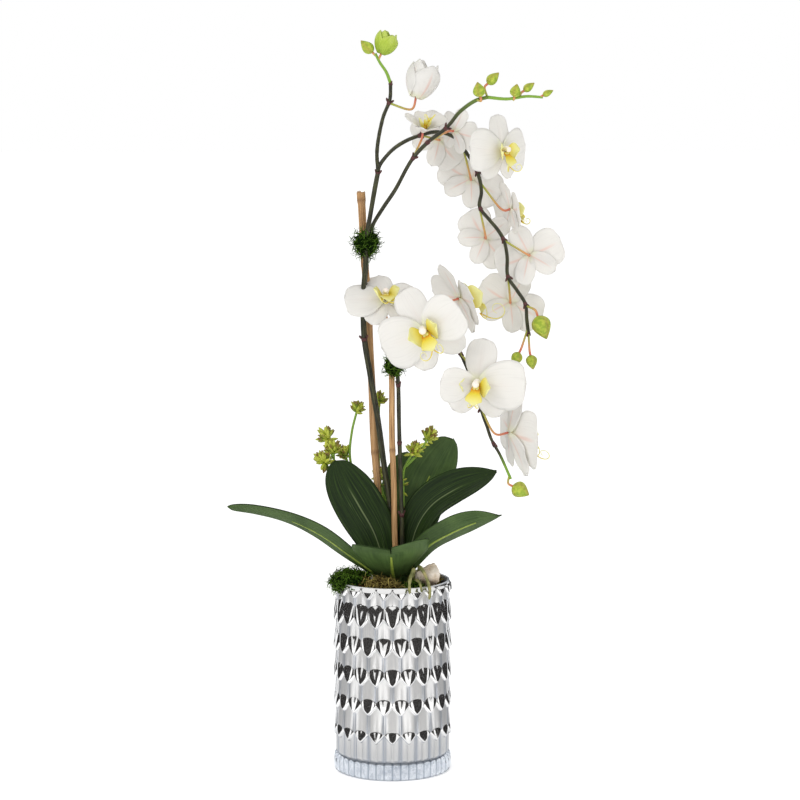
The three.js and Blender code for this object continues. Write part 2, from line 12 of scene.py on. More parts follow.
import bpy
import numpy as np
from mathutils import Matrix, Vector


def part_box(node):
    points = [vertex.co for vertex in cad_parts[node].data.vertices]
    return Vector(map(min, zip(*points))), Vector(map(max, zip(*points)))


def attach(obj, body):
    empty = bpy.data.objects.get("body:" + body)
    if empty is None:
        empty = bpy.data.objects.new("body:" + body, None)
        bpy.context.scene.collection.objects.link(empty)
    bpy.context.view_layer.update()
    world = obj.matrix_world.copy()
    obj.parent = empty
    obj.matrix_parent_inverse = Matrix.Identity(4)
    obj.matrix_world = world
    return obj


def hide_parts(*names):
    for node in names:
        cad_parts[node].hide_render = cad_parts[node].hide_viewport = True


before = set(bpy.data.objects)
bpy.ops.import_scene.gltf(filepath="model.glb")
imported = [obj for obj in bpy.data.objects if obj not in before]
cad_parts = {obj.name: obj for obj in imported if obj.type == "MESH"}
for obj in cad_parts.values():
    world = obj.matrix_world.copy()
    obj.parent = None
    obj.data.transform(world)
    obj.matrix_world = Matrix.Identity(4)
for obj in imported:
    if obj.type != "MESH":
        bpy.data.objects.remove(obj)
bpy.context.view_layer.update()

LOG = logging.getLogger("potted_orchid")
MM = 0.001
FILL_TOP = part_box("potting_fill")[1].z / MM
RIM_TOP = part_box("vase")[1].z / MM
TAG = "tissue"

Point = Sequence[float]
Array = np.ndarray
Colour = tuple[float, float, float]
Socket = bpy.types.NodeSocket
Thing = bpy.types.Object


# ------------------------ small geometry

def unit(vector: Array) -> Array:
    """The given vectors, each scaled to a length of one."""
    return vector / np.maximum(np.linalg.norm(vector, axis=-1, keepdims=True), 1e-9)


def planted(route: Iterable[Point]) -> Array:
    """Points given from the top of the fill, in the part's own frame, in millimetres."""
    return np.array(list(route), float) + np.array([0.0, 0.0, FILL_TOP])


def smooth_line(route: Array, step: float) -> Array:
    """Draws a smooth curve through every point of a route.

    Args:
        route: the points, one a row.
        step: how far apart the curve's own points are.

    Returns:
        The curve's points, one a row, from the route's first point to its last.
    """
    held = np.vstack([2 * route[0] - route[1], route, 2 * route[-1] - route[-2]])
    line = []
    for i in range(1, len(held) - 2):
        before, start, end, after = held[i - 1:i + 3]
        gaps = [max(np.linalg.norm(q - p) ** 0.5, 1e-3)
                for p, q in ((before, start), (start, end), (end, after))]
        leave = (start - before) / gaps[0] - (end - before) / (gaps[0] + gaps[1]) + (end - start) / gaps[1]
        arrive = (end - start) / gaps[1] - (after - start) / (gaps[1] + gaps[2]) + (after - end) / gaps[2]
        count = max(2, round(np.linalg.norm(end - start) / step))
        t = (np.arange(count) / count)[:, None]
        line.append((2 * t ** 3 - 3 * t ** 2 + 1) * start + (3 * t ** 2 - 2 * t ** 3) * end
                    + (t ** 3 - 2 * t ** 2 + t) * leave * gaps[1] + (t ** 3 - t ** 2) * arrive * gaps[1])
    return np.vstack([*line, route[-1:]])


def shares(line: Array) -> Array:
    """How far along a line each of its points is, from 0 to 1."""
    walked = np.concatenate([[0.0], np.cumsum(np.linalg.norm(np.diff(line, axis=0), axis=1))])
    return walked / walked[-1]


def facing_frame(azimuth: float, elevation: float, roll: float) -> Array:
    """Turns a flower to where it looks.

    Args:
        azimuth: degrees from the front towards the right.
        elevation: degrees above the horizon.
        roll: degrees that the flower is turned in its own plane, against the clock.

    Returns:
        Columns for the flower's right, up and forward directions.
    """
    a, e, r = (math.radians(x) for x in (azimuth, elevation, roll))
    forward = np.array([math.sin(a) * math.cos(e), -math.cos(a) * math.cos(e), math.sin(e)])
    side = np.array([math.cos(a), math.sin(a), 0.0])
    up = np.cross(forward, side)
    return np.column_stack([math.cos(r) * side + math.sin(r) * up, math.cos(r) * up - math.sin(r) * side,
                            forward])


def frame_along(direction: Point, hint: Point = (0.0, 0.0, 1.0)) -> Array:
    """Builds a turn round a direction.

    Args:
        direction: the way that the turn looks.
        hint: the way that its second side leans to.

    Returns:
        Columns for two sides and the direction.
    """
    forward = unit(np.array(direction, float))
    side = np.cross(np.array(hint, float), forward)
    if np.linalg.norm(side) < 1e-3:
        side = np.cross(np.array([0.0, 1.0, 0.0]), forward)
    side = unit(side)
    return np.column_stack([side, np.cross(forward, side), forward])


def grid_normals(grid: Array) -> Array:
    """The facing direction of a grid at each of its points."""
    return unit(np.cross(np.gradient(grid, axis=1), np.gradient(grid, axis=0)))


def grid_faces(rows: int, columns: int, closed: bool) -> Array:
    """Numbers the four-cornered faces of a grid.

    Args:
        rows: how many rows of points it has.
        columns: how many points each row has.
        closed: whether each row closes on itself.

    Returns:
        The faces' corners, one face a row.
    """
    i = np.arange(rows - 1)[:, None]
    j = np.arange(columns if closed else columns - 1)[None, :]
    a = i * columns + j
    b = i * columns + (j + 1) % columns
    return np.stack([a, b, b + columns, a + columns], -1).reshape(-1, 4)


# ------------------------ surfaces

class Surface:
    """Faces gathered for one piece. Each vertex is tagged with where it lies on its part of the plant."""

    def __init__(self) -> None:
        """Starts with no faces."""
        self._points: list[Array] = []
        self._tags: list[Array] = []
        self._faces: list[list[int]] = []
        self._paints: list[Array] = []
        self._count = 0

    def add(self, points: Array, tags: Array, faces: Iterable[tuple[Array, int]]) -> None:
        """Adds points and the faces between them.

        Args:
            points: one point a row, in millimetres.
            tags: along, across, back and chance for each point, each from 0 to 1.
            faces: arrays of faces, with indices into these points, and which finish each array wears.
        """
        for some, paint in faces:
            self._faces.extend((some + self._count).tolist())
            self._paints.append(np.full(len(some), paint))
        self._points.append(points.reshape(-1, 3))
        self._tags.append(tags.reshape(-1, 4))
        self._count += len(self._points[-1])

    def capped(self, rings: Array, tags: Array, ends: Array, end_tags: Array, paint: int = 0) -> None:
        """Adds rings that close on themselves, with a point at each end that closes the whole.

        Args:
            rings: the points, one ring a row.
            tags: the tags of those points.
            ends: the first and the last point.
            end_tags: the tags of those two.
            paint: which of the piece's finishes they wear.
        """
        count, sides = rings.shape[:2]
        i = np.arange(sides)
        last = (count - 1) * sides
        low = np.stack([(i + 1) % sides, i, np.full(sides, count * sides)], -1)
        high = np.stack([last + i, last + (i + 1) % sides, np.full(sides, count * sides + 1)], -1)
        self.add(np.vstack([rings.reshape(-1, 3), ends]), np.vstack([tags.reshape(-1, 4), end_tags]),
                 [(grid_faces(count, sides, True), paint), (low, paint), (high, paint)])

    def tube(self, line: Array, radius: float | Array, sides: int = 8, paint: int = 0,
             chance: float = 0.5, back: float | Array = 0.0) -> None:
        """Adds a round tube with closed ends along a line.

        Args:
            line: the tube's middle line.
            radius: one radius, or one for each point of the line.
            sides: how many sides the tube has.
            paint: which of the piece's finishes it wears.
            chance: the tube's own random share, from 0 to 1.
            back: what to tag as back, once or for each point of the line.
        """
        radii = np.broadcast_to(np.asarray(radius, float), len(line))
        tangents = unit(np.gradient(line, axis=0))
        start = np.array([0.0, 0.0, 1.0]) if abs(tangents[0][2]) < 0.9 else np.array([1.0, 0.0, 0.0])
        side = unit(np.cross(tangents[0], start))
        angles = 2 * math.pi * np.arange(sides) / sides
        rings = []
        for centre, tangent, size in zip(line, tangents, radii):
            side = unit(side - tangent * np.dot(side, tangent))
            up = np.cross(tangent, side)
            rings.append(centre + size * (np.cos(angles)[:, None] * side + np.sin(angles)[:, None] * up))
        grid = np.array(rings)
        share = shares(line)
        tags = np.zeros((*grid.shape[:2], 4))
        tags[..., 0] = share[:, None]
        tags[..., 1] = (np.arange(sides) / sides)[None, :]
        tags[..., 2] = np.broadcast_to(np.asarray(back, float), len(line))[:, None]
        tags[..., 3] = chance
        end_tags = np.array([[share[0], 0.5, 0, chance], [share[-1], 0.5, 0, chance]])
        self.capped(grid, tags, line[[0, -1]], end_tags, paint)

    def sheet(self, grid: Array, thickness: float, paint: int = 0, chance: float = 0.5,
              back_paint: Optional[int] = None) -> None:
        """Adds a thin sheet with a front, a back and a closed edge.

        Args:
            grid: the front face's points, along by across.
            thickness: how thick the sheet is.
            paint: which of the piece's finishes the front wears.
            chance: the sheet's own random share, from 0 to 1.
            back_paint: the finish of the back, if it is another one.
        """
        rows, columns = grid.shape[:2]
        back = grid - grid_normals(grid) * thickness
        tags = np.zeros((2, rows, columns, 4))
        tags[..., 0] = np.linspace(0, 1, rows)[:, None]
        tags[..., 1] = np.linspace(0, 1, columns)[None, :]
        tags[1, ..., 2] = 1
        tags[..., 3] = chance
        front_faces = grid_faces(rows, columns, False)
        size = rows * columns
        rim = [*range(columns), *range(2 * columns - 1, size, columns),
               *range(size - 2, size - columns - 1, -1), *range(size - 2 * columns, 0, -columns)]
        here, after = np.array(rim), np.array([*rim[1:], rim[0]])
        edge = np.stack([after, here, here + size, after + size], -1)
        points = np.concatenate([grid.reshape(-1, 3), back.reshape(-1, 3)])
        behind = paint if back_paint is None else back_paint
        self.add(points, tags.reshape(-1, 4),
                 [(front_faces, paint), (edge, paint), (front_faces[:, ::-1] + size, behind)])

    def ball(self, centre: Array, radii: Array, turn: Array, paint: int = 0, chance: float = 0.5,
             lumps: Optional[Callable[[Array], Array]] = None, sides: int = 12, rings: int = 8) -> None:
        """Adds a rounded lump.

        Args:
            centre: its middle.
            radii: its radii along the columns of its turn.
            turn: how it is turned.
            paint: which of the piece's finishes it wears.
            chance: its own random share, from 0 to 1.
            lumps: how far out it reaches along each direction, as a share of its radii.
            sides: how many points go round it.
            rings: how many rings of them it has.
        """
        up = np.linspace(-math.pi / 2, math.pi / 2, rings + 2)[1:-1]
        round_it = 2 * math.pi * np.arange(sides) / sides
        shell = np.stack([np.cos(up)[:, None] * np.cos(round_it), np.cos(up)[:, None] * np.sin(round_it),
                          np.repeat(np.sin(up)[:, None], sides, 1)], -1)
        points = np.vstack([shell.reshape(-1, 3), [[0, 0, -1], [0, 0, 1]]])
        tags = np.zeros((len(points), 4))
        tags[:, 0] = (points[:, 2] + 1) / 2
        tags[:, 1] = (np.arctan2(points[:, 1], points[:, 0]) / (2 * math.pi)) % 1
        tags[:, 3] = chance
        if lumps is not None:
            points = points * lumps(points)[:, None]
        placed = centre + (points * radii) @ turn.T
        self.capped(placed[:-2].reshape(rings, sides, 3), tags[:-2], placed[-2:], tags[-2:], paint)

    def turned(self, radii: Array, heights: Array, tags: Array) -> None:
        """Adds a closed body turned round the upright axis.

        Args:
            radii: the radius of each point, one ring a row.
            heights: the height of each ring.
            tags: the tags of each point.
        """
        turn = 2 * math.pi * np.arange(radii.shape[1]) / radii.shape[1]
        grid = np.stack([radii * np.cos(turn), radii * np.sin(turn),
                         np.broadcast_to(heights[:, None], radii.shape)], -1)
        ends = np.array([[0, 0, heights[0]], [0, 0, heights[-1]]])
        self.capped(grid, tags, ends, np.stack([tags[0, 0], tags[-1, 0]]))

    def made(self, name: str, finishes: Sequence["Finish"]) -> Thing:
        """Makes the piece's object.

        Args:
            name: the piece's name.
            finishes: what it wears, in the order of the paint numbers.

        Returns:
            The object, smooth shaded, in metres.
        """
        mesh = bpy.data.meshes.new(name)
        mesh.from_pydata((np.concatenate(self._points) * MM).tolist(), [], self._faces)
        mesh.polygons.foreach_set("use_smooth", np.ones(len(mesh.polygons), bool))
        mesh.polygons.foreach_set("material_index", np.concatenate(self._paints).astype(np.int32))
        tags = mesh.attributes.new(TAG, "FLOAT_COLOR", "POINT")
        tags.data.foreach_set("color", np.concatenate(self._tags).astype(np.float32).ravel())
        for finish in finishes:
            mesh.materials.append(finish.material())
        mesh.update()
        made = bpy.data.objects.new(name, mesh)
        bpy.context.scene.collection.objects.link(made)
        return made


def settle(piece: Thing, slot: str, *nodes: str) -> Thing:
    """Lets a piece ride with the part and stand for its CAD nodes.

    Args:
        piece: the piece.
        slot: the record's material slot; not used.
        nodes: the CAD nodes that the piece stands for.

    Returns:
        The piece.
    """
    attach(piece, "root")
    if nodes:
        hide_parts(*nodes)
    return piece


# ------------------------ finishes

class Recipe:
    """A node material that is being put together."""

    def __init__(self, name: str) -> None:
        """Starts with a principled shader alone.

        Args:
            name: the material's name.
        """
        self.material = bpy.data.materials.new(name)
        self.material.use_nodes = True
        self.tree = self.material.node_tree
        self.shader = self.tree.nodes["Principled BSDF"]
        self.output = self.tree.nodes["Material Output"]
        self._source: Optional[bpy.types.Node] = None
        self._split: Optional[bpy.types.Node] = None
        self._place = self.node("ShaderNodeTexCoord").outputs["Object"]

    def node(self, kind: str, **settings: object) -> bpy.types.Node:
        """Adds a node.

        Args:
            kind: the node's type.
            settings: the values of its own settings.

        Returns:
            The node.
        """
        made = self.tree.nodes.new(kind)
        for name, value in settings.items():
            setattr(made, name, value)
        return made

    def put(self, value: object, socket: Socket) -> None:
        """Links an output to a socket, or sets the socket to a constant.

        Args:
            value: the output or the constant.
            socket: the socket that takes it.
        """
        if isinstance(value, Socket):
            self.tree.links.new(value, socket)
        else:
            socket.default_value = value

    def set(self, **values: float | tuple) -> None:
        """Sets constants on the shader's own sockets, named with underscores for spaces."""
        for name, value in values.items():
            self.shader.inputs[name.replace("_", " ")].default_value = value

    def tag(self, channel: str) -> Socket:
        """Reads one of the tags.

        Args:
            channel: Red for along, Green for across, Blue for back or Alpha for chance.

        Returns:
            The tag's output.
        """
        if self._split is None:
            self._source = self.node("ShaderNodeAttribute", attribute_name=TAG)
            self._split = self.node("ShaderNodeSeparateColor")
            self.tree.links.new(self._source.outputs["Color"], self._split.inputs[0])
        return self._source.outputs["Alpha"] if channel == "Alpha" else self._split.outputs[channel]

    def sum(self, operation: str, first: object, second: object = 0.0, third: object = 0.0) -> Socket:
        """Adds one mathematical operation.

        Args:
            operation: the operation's name.
            first: its first value.
            second: its second value.
            third: its third value.

        Returns:
            Its outcome.
        """
        made = self.node("ShaderNodeMath", operation=operation)
        for value, socket in zip((first, second, third), made.inputs):
            self.put(value, socket)
        return made.outputs[0]

    def times(self, first: object, second: object) -> Socket:
        """The product of two values."""
        return self.sum("MULTIPLY", first, second)

    def noise(self, scale: float, detail: float = 3.0, stretch: Point = (1, 1, 1)) -> Socket:
        """Adds cloudy noise over the piece.

        Args:
            scale: how many clouds a metre has.
            detail: how many finer layers there are.
            stretch: how much more of them there are along each axis.

        Returns:
            The noise, from 0 to 1.
        """
        place = self.node("ShaderNodeMapping")
        place.inputs["Scale"].default_value = stretch
        self.tree.links.new(self._place, place.inputs["Vector"])
        made = self.node("ShaderNodeTexNoise")
        made.inputs["Scale"].default_value = scale
        made.inputs["Detail"].default_value = detail
        self.tree.links.new(place.outputs[0], made.inputs["Vector"])
        return made.outputs["Fac"]

    def streaks(self, across: float, along: float, detail: float = 2.0) -> Socket:
        """Adds noise that is drawn out along the tagged length.

        Args:
            across: how many streaks lie across it.
            along: how many stretches each streak has.
            detail: how many finer layers there are.

        Returns:
            The noise, from 0 to 1.
        """
        joined = self.node("ShaderNodeCombineXYZ")
        self.put(self.times(self.tag("Green"), across), joined.inputs[0])
        self.put(self.times(self.tag("Red"), along), joined.inputs[1])
        self.put(self.times(self.tag("Alpha"), 50.0), joined.inputs[2])
        made = self.node("ShaderNodeTexNoise")
        made.inputs["Scale"].default_value = 1.0
        made.inputs["Detail"].default_value = detail
        self.tree.links.new(joined.outputs[0], made.inputs["Vector"])
        return made.outputs["Fac"]

    def ramp(self, share: Socket, *stops: tuple[float, Colour]) -> Socket:
        """Adds a run of colours.

        Args:
            share: where on the run each place lies.
            stops: places on the run and their colours.

        Returns:
            The colour.
        """
        made = self.node("ShaderNodeValToRGB")
        stored = made.color_ramp.elements
        while len(stored) < len(stops):
            stored.new(0.5)
        for stop, (place, colour) in zip(stored, stops):
            stop.position = place
            stop.color = (*colour, 1.0)
        self.tree.links.new(share, made.inputs[0])
        return made.outputs["Color"]

    def level(self, share: Socket, low: float, high: float) -> Socket:
        """Adds a smooth step.

        Args:
            share: the value that is stepped.
            low: where the step is 0.
            high: where it is 1.

        Returns:
            The step, from 0 to 1.
        """
        made = self.node("ShaderNodeMapRange", interpolation_type="SMOOTHSTEP")
        for value, socket in zip((share, low, high), made.inputs):
            self.put(value, socket)
        return made.outputs[0]

    def mix(self, share: object, first: object, second: object) -> Socket:
        """Mixes two colours.

        Args:
            share: how much of the second colour there is.
            first: the first colour.
            second: the second colour.

        Returns:
            The mixed colour.
        """
        made = self.node("ShaderNodeMix", data_type="RGBA")
        colours = [socket for socket in made.inputs if socket.type == "RGBA"]
        self.put(share, made.inputs[0])
        for value, socket in zip((first, second), colours):
            self.put((*value, 1.0) if isinstance(value, tuple) else value, socket)
        return next(socket for socket in made.outputs if socket.type == "RGBA")

    def bump(self, height: Socket, depth: float, strength: float = 1.0) -> None:
        """Raises the surface.

        Args:
            height: how high each place is, from 0 to 1.
            depth: how many millimetres that is.
            strength: how much of it shows.
        """
        made = self.node("ShaderNodeBump")
        made.inputs["Strength"].default_value = strength
        made.inputs["Distance"].default_value = depth * MM
        self.tree.links.new(height, made.inputs["Height"])
        self.tree.links.new(made.outputs[0], self.shader.inputs["Normal"])

    def colour(self, colour: object) -> None:
        """Gives the shader its colour."""
        self.put(colour, self.shader.inputs["Base Color"])

    def glow_through(self, colour: object, share: float) -> None:
        """Lets light come through from behind.

        Args:
            colour: the light's colour.
            share: how much of the surface lets it through.
        """
        through = self.node("ShaderNodeBsdfTranslucent")
        self.put(colour, through.inputs["Color"])
        mixed = self.node("ShaderNodeMixShader")
        mixed.inputs[0].default_value = share
        self.tree.links.new(self.shader.outputs[0], mixed.inputs[1])
        self.tree.links.new(through.outputs[0], mixed.inputs[2])
        self.tree.links.new(mixed.outputs[0], self.output.inputs["Surface"])


# The materials that were made so far, by the names of their finishes.
WORN: dict[str, bpy.types.Material] = {}


class Finish:
    """What a piece wears. A finish makes its material once."""

    name: str

    def material(self) -> bpy.types.Material:
        """Makes the finish's material when it is first asked for.

        Returns:
            The material.
        """
        if self.name not in WORN:
            recipe = Recipe(self.name)
            self.dress(recipe)
            WORN[self.name] = recipe.material
        return WORN[self.name]

    def dress(self, recipe: Recipe) -> None:
        """Fills in the finish's recipe.

        Args:
            recipe: the material so far.
        """
        raise NotImplementedError


@dataclass(frozen=True)
class CloudedFinish(Finish):
    """A plain dull finish whose colour and height follow the same clouds."""

    name: str
    clouds: tuple[float, float]
    stops: tuple[tuple[float, Colour], ...]
    roughness: float
    relief: tuple[float, float]

    def dress(self, recipe: Recipe) -> None:
        """Colours and raises the surface by one noise.

        Args:
            recipe: the material so far.
        """
        cloud = recipe.noise(*self.clouds)
        recipe.colour(recipe.ramp(cloud, *self.stops))
        recipe.set(Roughness=self.roughness)
        recipe.bump(cloud, *self.relief)


BRACT_SKIN = CloudedFinish("bract_skin", (900.0, 3.0), ((0.3, (0.040, 0.012, 0.014)),
                                                        (0.7, (0.13, 0.045, 0.040))), 0.55, (0.3, 0.6))
LEAF_WIRE = CloudedFinish("leaf_wire", (220.0, 2.0), ((0.3, (0.17, 0.25, 0.03)),
                                                      (0.7, (0.30, 0.38, 0.06))), 0.42, (0.2, 0.4))
BARK_CHIPS = CloudedFinish("bark_chips", (160.0, 5.0), ((0.3, (0.03, 0.016, 0.008)),
                                                        (0.6, (0.14, 0.075, 0.035)),
                                                        (0.75, (0.26, 0.16, 0.08))), 0.85, (1.5, 0.8))


@dataclass(frozen=True)
class SilveredGlass(Finish):
    """Pressed glass with a mirror layer inside: bright on the scales' points, duller in their hollows, with
    painted shade.
    """

    name: str = "silvered_glass"
    silver: Colour = (0.86, 0.855, 0.845)
    # colour of the painted shade at the wall's grazing edges, along the scales' sides and in the streaks
    shade: Colour = (0.27, 0.31, 0.38)
    hollow: Colour = (0.88, 0.872, 0.858)
    base_grey: Colour = (0.37, 0.375, 0.38)

    def dress(self, recipe: Recipe) -> None:
        """Tags: along is the height share, across the place across a scale, back the polish.

        Args:
            recipe: the material so far.
        """
        # painted shade: the facing weight darkens the colour toward the shade where the wall turns away from
        # view, at its edges
        facing = recipe.node("ShaderNodeLayerWeight")
        facing.inputs["Blend"].default_value = 0.30
        polish = recipe.level(recipe.tag("Blue"), 0.25, 0.75)
        bright = recipe.mix(polish, self.hollow, self.silver)
        low = recipe.level(recipe.tag("Red"), 0.30, 0.12)
        bright = recipe.mix(recipe.times(low, 0.62), bright, self.base_grey)
        streak = recipe.streaks(90.0, 6.0)
        # painted shade: dark bluish lines along the sides of each scale in its hollow, where it meets its
        # neighbours
        side = recipe.sum("ABSOLUTE", recipe.sum("MULTIPLY_ADD", recipe.tag("Green"), 2.0, -1.0))
        hollow = recipe.sum("SUBTRACT", 1.0, polish)
        lines = recipe.times(recipe.level(side, 0.55, 1.0), hollow)
        bright = recipe.mix(recipe.times(lines, 0.75), bright, self.shade)
        # streaky darkening toward the shade colour: a faint part everywhere is wear of the silvering, the
        # larger part in the hollows is painted shade
        streak_wear_and_shade = recipe.sum("MULTIPLY_ADD", hollow, 0.3, 0.06)
        streaked_wear_and_shade = recipe.times(recipe.level(streak, 0.48, 0.75), streak_wear_and_shade)
        bright = recipe.mix(streaked_wear_and_shade, bright, self.shade)
        recipe.colour(recipe.mix(recipe.times(facing.outputs["Facing"], 0.5), bright, self.shade))
        rough = recipe.sum("MULTIPLY_ADD", polish, -0.24, 0.29)
        recipe.put(recipe.sum("MULTIPLY_ADD", low, 0.12, rough), recipe.shader.inputs["Roughness"])
        recipe.put(recipe.sum("MULTIPLY_ADD", polish, 0.45, 0.52), recipe.shader.inputs["Metallic"])
        recipe.set(Coat_Weight=0.3, Coat_Roughness=0.02)
        recipe.bump(recipe.noise(260.0, 2.0), 0.12, 0.35)


@dataclass(frozen=True)
class ClearGlass(Finish):
    """Thick clear glass with a faint cool tint."""

    name: str = "clear_glass"
    tint: Colour = (0.60, 0.635, 0.685)
    cloudy: Colour = (0.38, 0.42, 0.48)
    # colour of the painted shade in the grooves between the facets
    groove: Colour = (0.13, 0.165, 0.22)

    def dress(self, recipe: Recipe) -> None:
        """Tags: back is how deep in a groove it is. The grooves between the facets are darkened with painted
        shade.

        Args:
            recipe: the material so far.
        """
        # painted shade: darker deep in the grooves between the facets
        deep = recipe.level(recipe.tag("Blue"), 0.45, 1.0)
        cloud = recipe.noise(230.0, 4.0, (1, 1, 0.6))
        tone = recipe.mix(recipe.level(cloud, 0.42, 0.62), self.tint, self.cloudy)
        recipe.colour(recipe.mix(deep, tone, self.groove))
        recipe.set(Roughness=0.06, IOR=1.5, Transmission_Weight=0.86)
        recipe.bump(recipe.noise(150.0, 3.0, (1, 1, 0.5)), 1.2, 0.7)


@dataclass(frozen=True)
class Bamboo(Finish):
    """Dried bamboo, streaked along its length and dark at its joints."""

    name: str = "dried_bamboo"
    light: Colour = (0.60, 0.37, 0.17)
    middle: Colour = (0.40, 0.22, 0.09)
    dark: Colour = (0.16, 0.075, 0.03)

    def dress(self, recipe: Recipe) -> None:
        """Tags: back is how close a joint is.

        Args:
            recipe: the material so far.
        """
        streak = recipe.streaks(14.0, 9.0, 4.0)
        tone = recipe.ramp(streak, (0.28, self.dark), (0.45, self.middle), (0.68, self.light))
        blotch = recipe.level(recipe.noise(45.0, 3.0, (1, 1, 0.35)), 0.55, 0.75)
        tone = recipe.mix(recipe.times(blotch, 0.5), tone, self.dark)
        recipe.colour(recipe.mix(recipe.times(recipe.tag("Blue"), 0.8), tone, self.dark))
        recipe.set(Roughness=0.42, Specular_IOR_Level=0.45)
        recipe.bump(streak, 0.4, 0.5)


@dataclass(frozen=True)
class StemSkin(Finish):
    """A flower stem: dark olive with a satin skin, turning bright green where it still grows."""

    name: str = "stem_skin"
    dark: Colour = (0.022, 0.022, 0.014)
    olive: Colour = (0.060, 0.062, 0.024)
    green: Colour = (0.20, 0.36, 0.035)

    def dress(self, recipe: Recipe) -> None:
        """Tags: back is how green the stem still is.

        Args:
            recipe: the material so far.
        """
        streak = recipe.streaks(7.0, 30.0, 3.0)
        old = recipe.mix(recipe.level(streak, 0.35, 0.68), self.dark, self.olive)
        recipe.colour(recipe.mix(recipe.tag("Blue"), old, self.green))
        recipe.set(Roughness=0.38, Specular_IOR_Level=0.5)
        recipe.bump(streak, 0.25, 0.5)


@dataclass(frozen=True)
class Pedicel(Finish):
    """A flower's own stalk: yellow-green at the stem, orange and then salmon red at the flower."""

    name: str = "pedicel"

    def dress(self, recipe: Recipe) -> None:
        """Tags: along runs from the stem to the flower.

        Args:
            recipe: the material so far.
        """
        streak = recipe.streaks(5.0, 12.0)
        share = recipe.sum("MULTIPLY_ADD", streak, 0.25, recipe.sum("SUBTRACT", recipe.tag("Red"), 0.12))
        recipe.colour(recipe.ramp(share, (0.0, (0.30, 0.36, 0.05)), (0.35, (0.42, 0.38, 0.08)),
                                  (0.65, (0.62, 0.30, 0.12)), (0.95, (0.62, 0.16, 0.11))))
        recipe.set(Roughness=0.45, Specular_IOR_Level=0.4)
        recipe.bump(streak, 0.2, 0.4)


@dataclass(frozen=True)
class PetalCloth(Finish):
    """White petal cloth: fine veins on its face, a pink-orange midrib behind."""

    name: str = "petal_cloth"
    white: Colour = (0.875, 0.86, 0.83)
    grey: Colour = (0.70, 0.685, 0.655)
    throat: Colour = (0.86, 0.89, 0.60)
    midrib: Colour = (0.86, 0.43, 0.33)
    blush: Colour = (0.93, 0.70, 0.66)
    through: Colour = (0.97, 0.96, 0.92)

    def dress(self, recipe: Recipe) -> None:
        """Tags: along from the middle to the tip, across, back, and the petal's own chance.

        Args:
            recipe: the material so far.
        """
        across, along, back = recipe.tag("Green"), recipe.tag("Red"), recipe.tag("Blue")
        vein = recipe.streaks(34.0, 1.6, 3.0)
        tone = recipe.mix(recipe.times(recipe.level(vein, 0.50, 0.78), 0.35), self.white, self.grey)
        near = recipe.level(along, 0.24, 0.02)
        tone = recipe.mix(recipe.times(near, 0.55), tone, self.throat)
        off = recipe.sum("ABSOLUTE", recipe.sum("SUBTRACT", across, 0.5))
        rib = recipe.times(recipe.level(off, 0.055, 0.008), recipe.level(along, 0.92, 0.45))
        rib = recipe.times(rib, recipe.times(back, 0.40))
        flush = recipe.times(recipe.level(off, 0.34, 0.02), recipe.level(along, 0.75, 0.0))
        tone = recipe.mix(recipe.times(recipe.times(flush, back), 0.16), tone, self.blush)
        tone = recipe.mix(rib, tone, self.midrib)
        recipe.colour(tone)
        recipe.set(Roughness=0.62, Specular_IOR_Level=0.25, Sheen_Weight=0.15, Sheen_Roughness=0.5)
        recipe.bump(recipe.sum("ADD", vein, recipe.noise(1500.0, 1.0)), 0.22, 0.45)
        recipe.glow_through(recipe.mix(0.5, tone, self.through), 0.34)


@dataclass(frozen=True)
class GreenPetalCloth(Finish):
    """The cloth of a flower that is still green: lime with paler edges and fine veins."""

    name: str = "green_petal_cloth"

    def dress(self, recipe: Recipe) -> None:
        """Tags: along from the base to the tip, and across.

        Args:
            recipe: the material so far.
        """
        vein = recipe.streaks(22.0, 2.0, 3.0)
        share = recipe.sum("MULTIPLY_ADD", vein, 0.6, recipe.times(recipe.tag("Red"), 0.5))
        tone = recipe.ramp(share, (0.25, (0.30, 0.44, 0.03)), (0.6, (0.50, 0.64, 0.07)),
                           (0.95, (0.72, 0.80, 0.25)))
        recipe.colour(tone)
        recipe.set(Roughness=0.5)
        recipe.bump(vein, 0.3, 0.5)
        recipe.glow_through(tone, 0.25)


@dataclass(frozen=True)
class LipCloth(Finish):
    """The flower's lip: orange-red in the throat, golden, and pale yellow at its edges."""

    name: str = "lip_cloth"

    def dress(self, recipe: Recipe) -> None:
        """Tags: along runs from the throat to the edge.

        Args:
            recipe: the material so far.
        """
        fleck = recipe.noise(1400.0, 2.0)
        share = recipe.sum("MULTIPLY_ADD", fleck, 0.3, recipe.sum("SUBTRACT", recipe.tag("Red"), 0.15))
        share = recipe.sum("MULTIPLY_ADD", recipe.sum("SUBTRACT", recipe.tag("Alpha"), 0.5), 0.5, share)
        tone = recipe.ramp(share, (0.0, (0.62, 0.12, 0.02)), (0.12, (0.85, 0.40, 0.03)),
                           (0.32, (0.84, 0.70, 0.05)), (0.90, (0.90, 0.88, 0.40)))
        recipe.colour(tone)
        recipe.set(Roughness=0.5, Specular_IOR_Level=0.35)
        recipe.bump(fleck, 0.2, 0.5)
        recipe.glow_through(tone, 0.2)


@dataclass(frozen=True)
class ColumnSkin(Finish):
    """The knob above the lip: creamy white with a rose tip."""

    name: str = "column_skin"

    def dress(self, recipe: Recipe) -> None:
        """Tags: along runs to the knob's tip.

        Args:
            recipe: the material so far.
        """
        share = recipe.sum("MULTIPLY_ADD", recipe.noise(900.0, 2.0), 0.3, recipe.tag("Red"))
        recipe.colour(recipe.ramp(share, (0.4, (0.90, 0.84, 0.58)), (0.8, (0.93, 0.90, 0.80)),
                                  (1.2, (0.90, 0.80, 0.72))))
        recipe.set(Roughness=0.45)


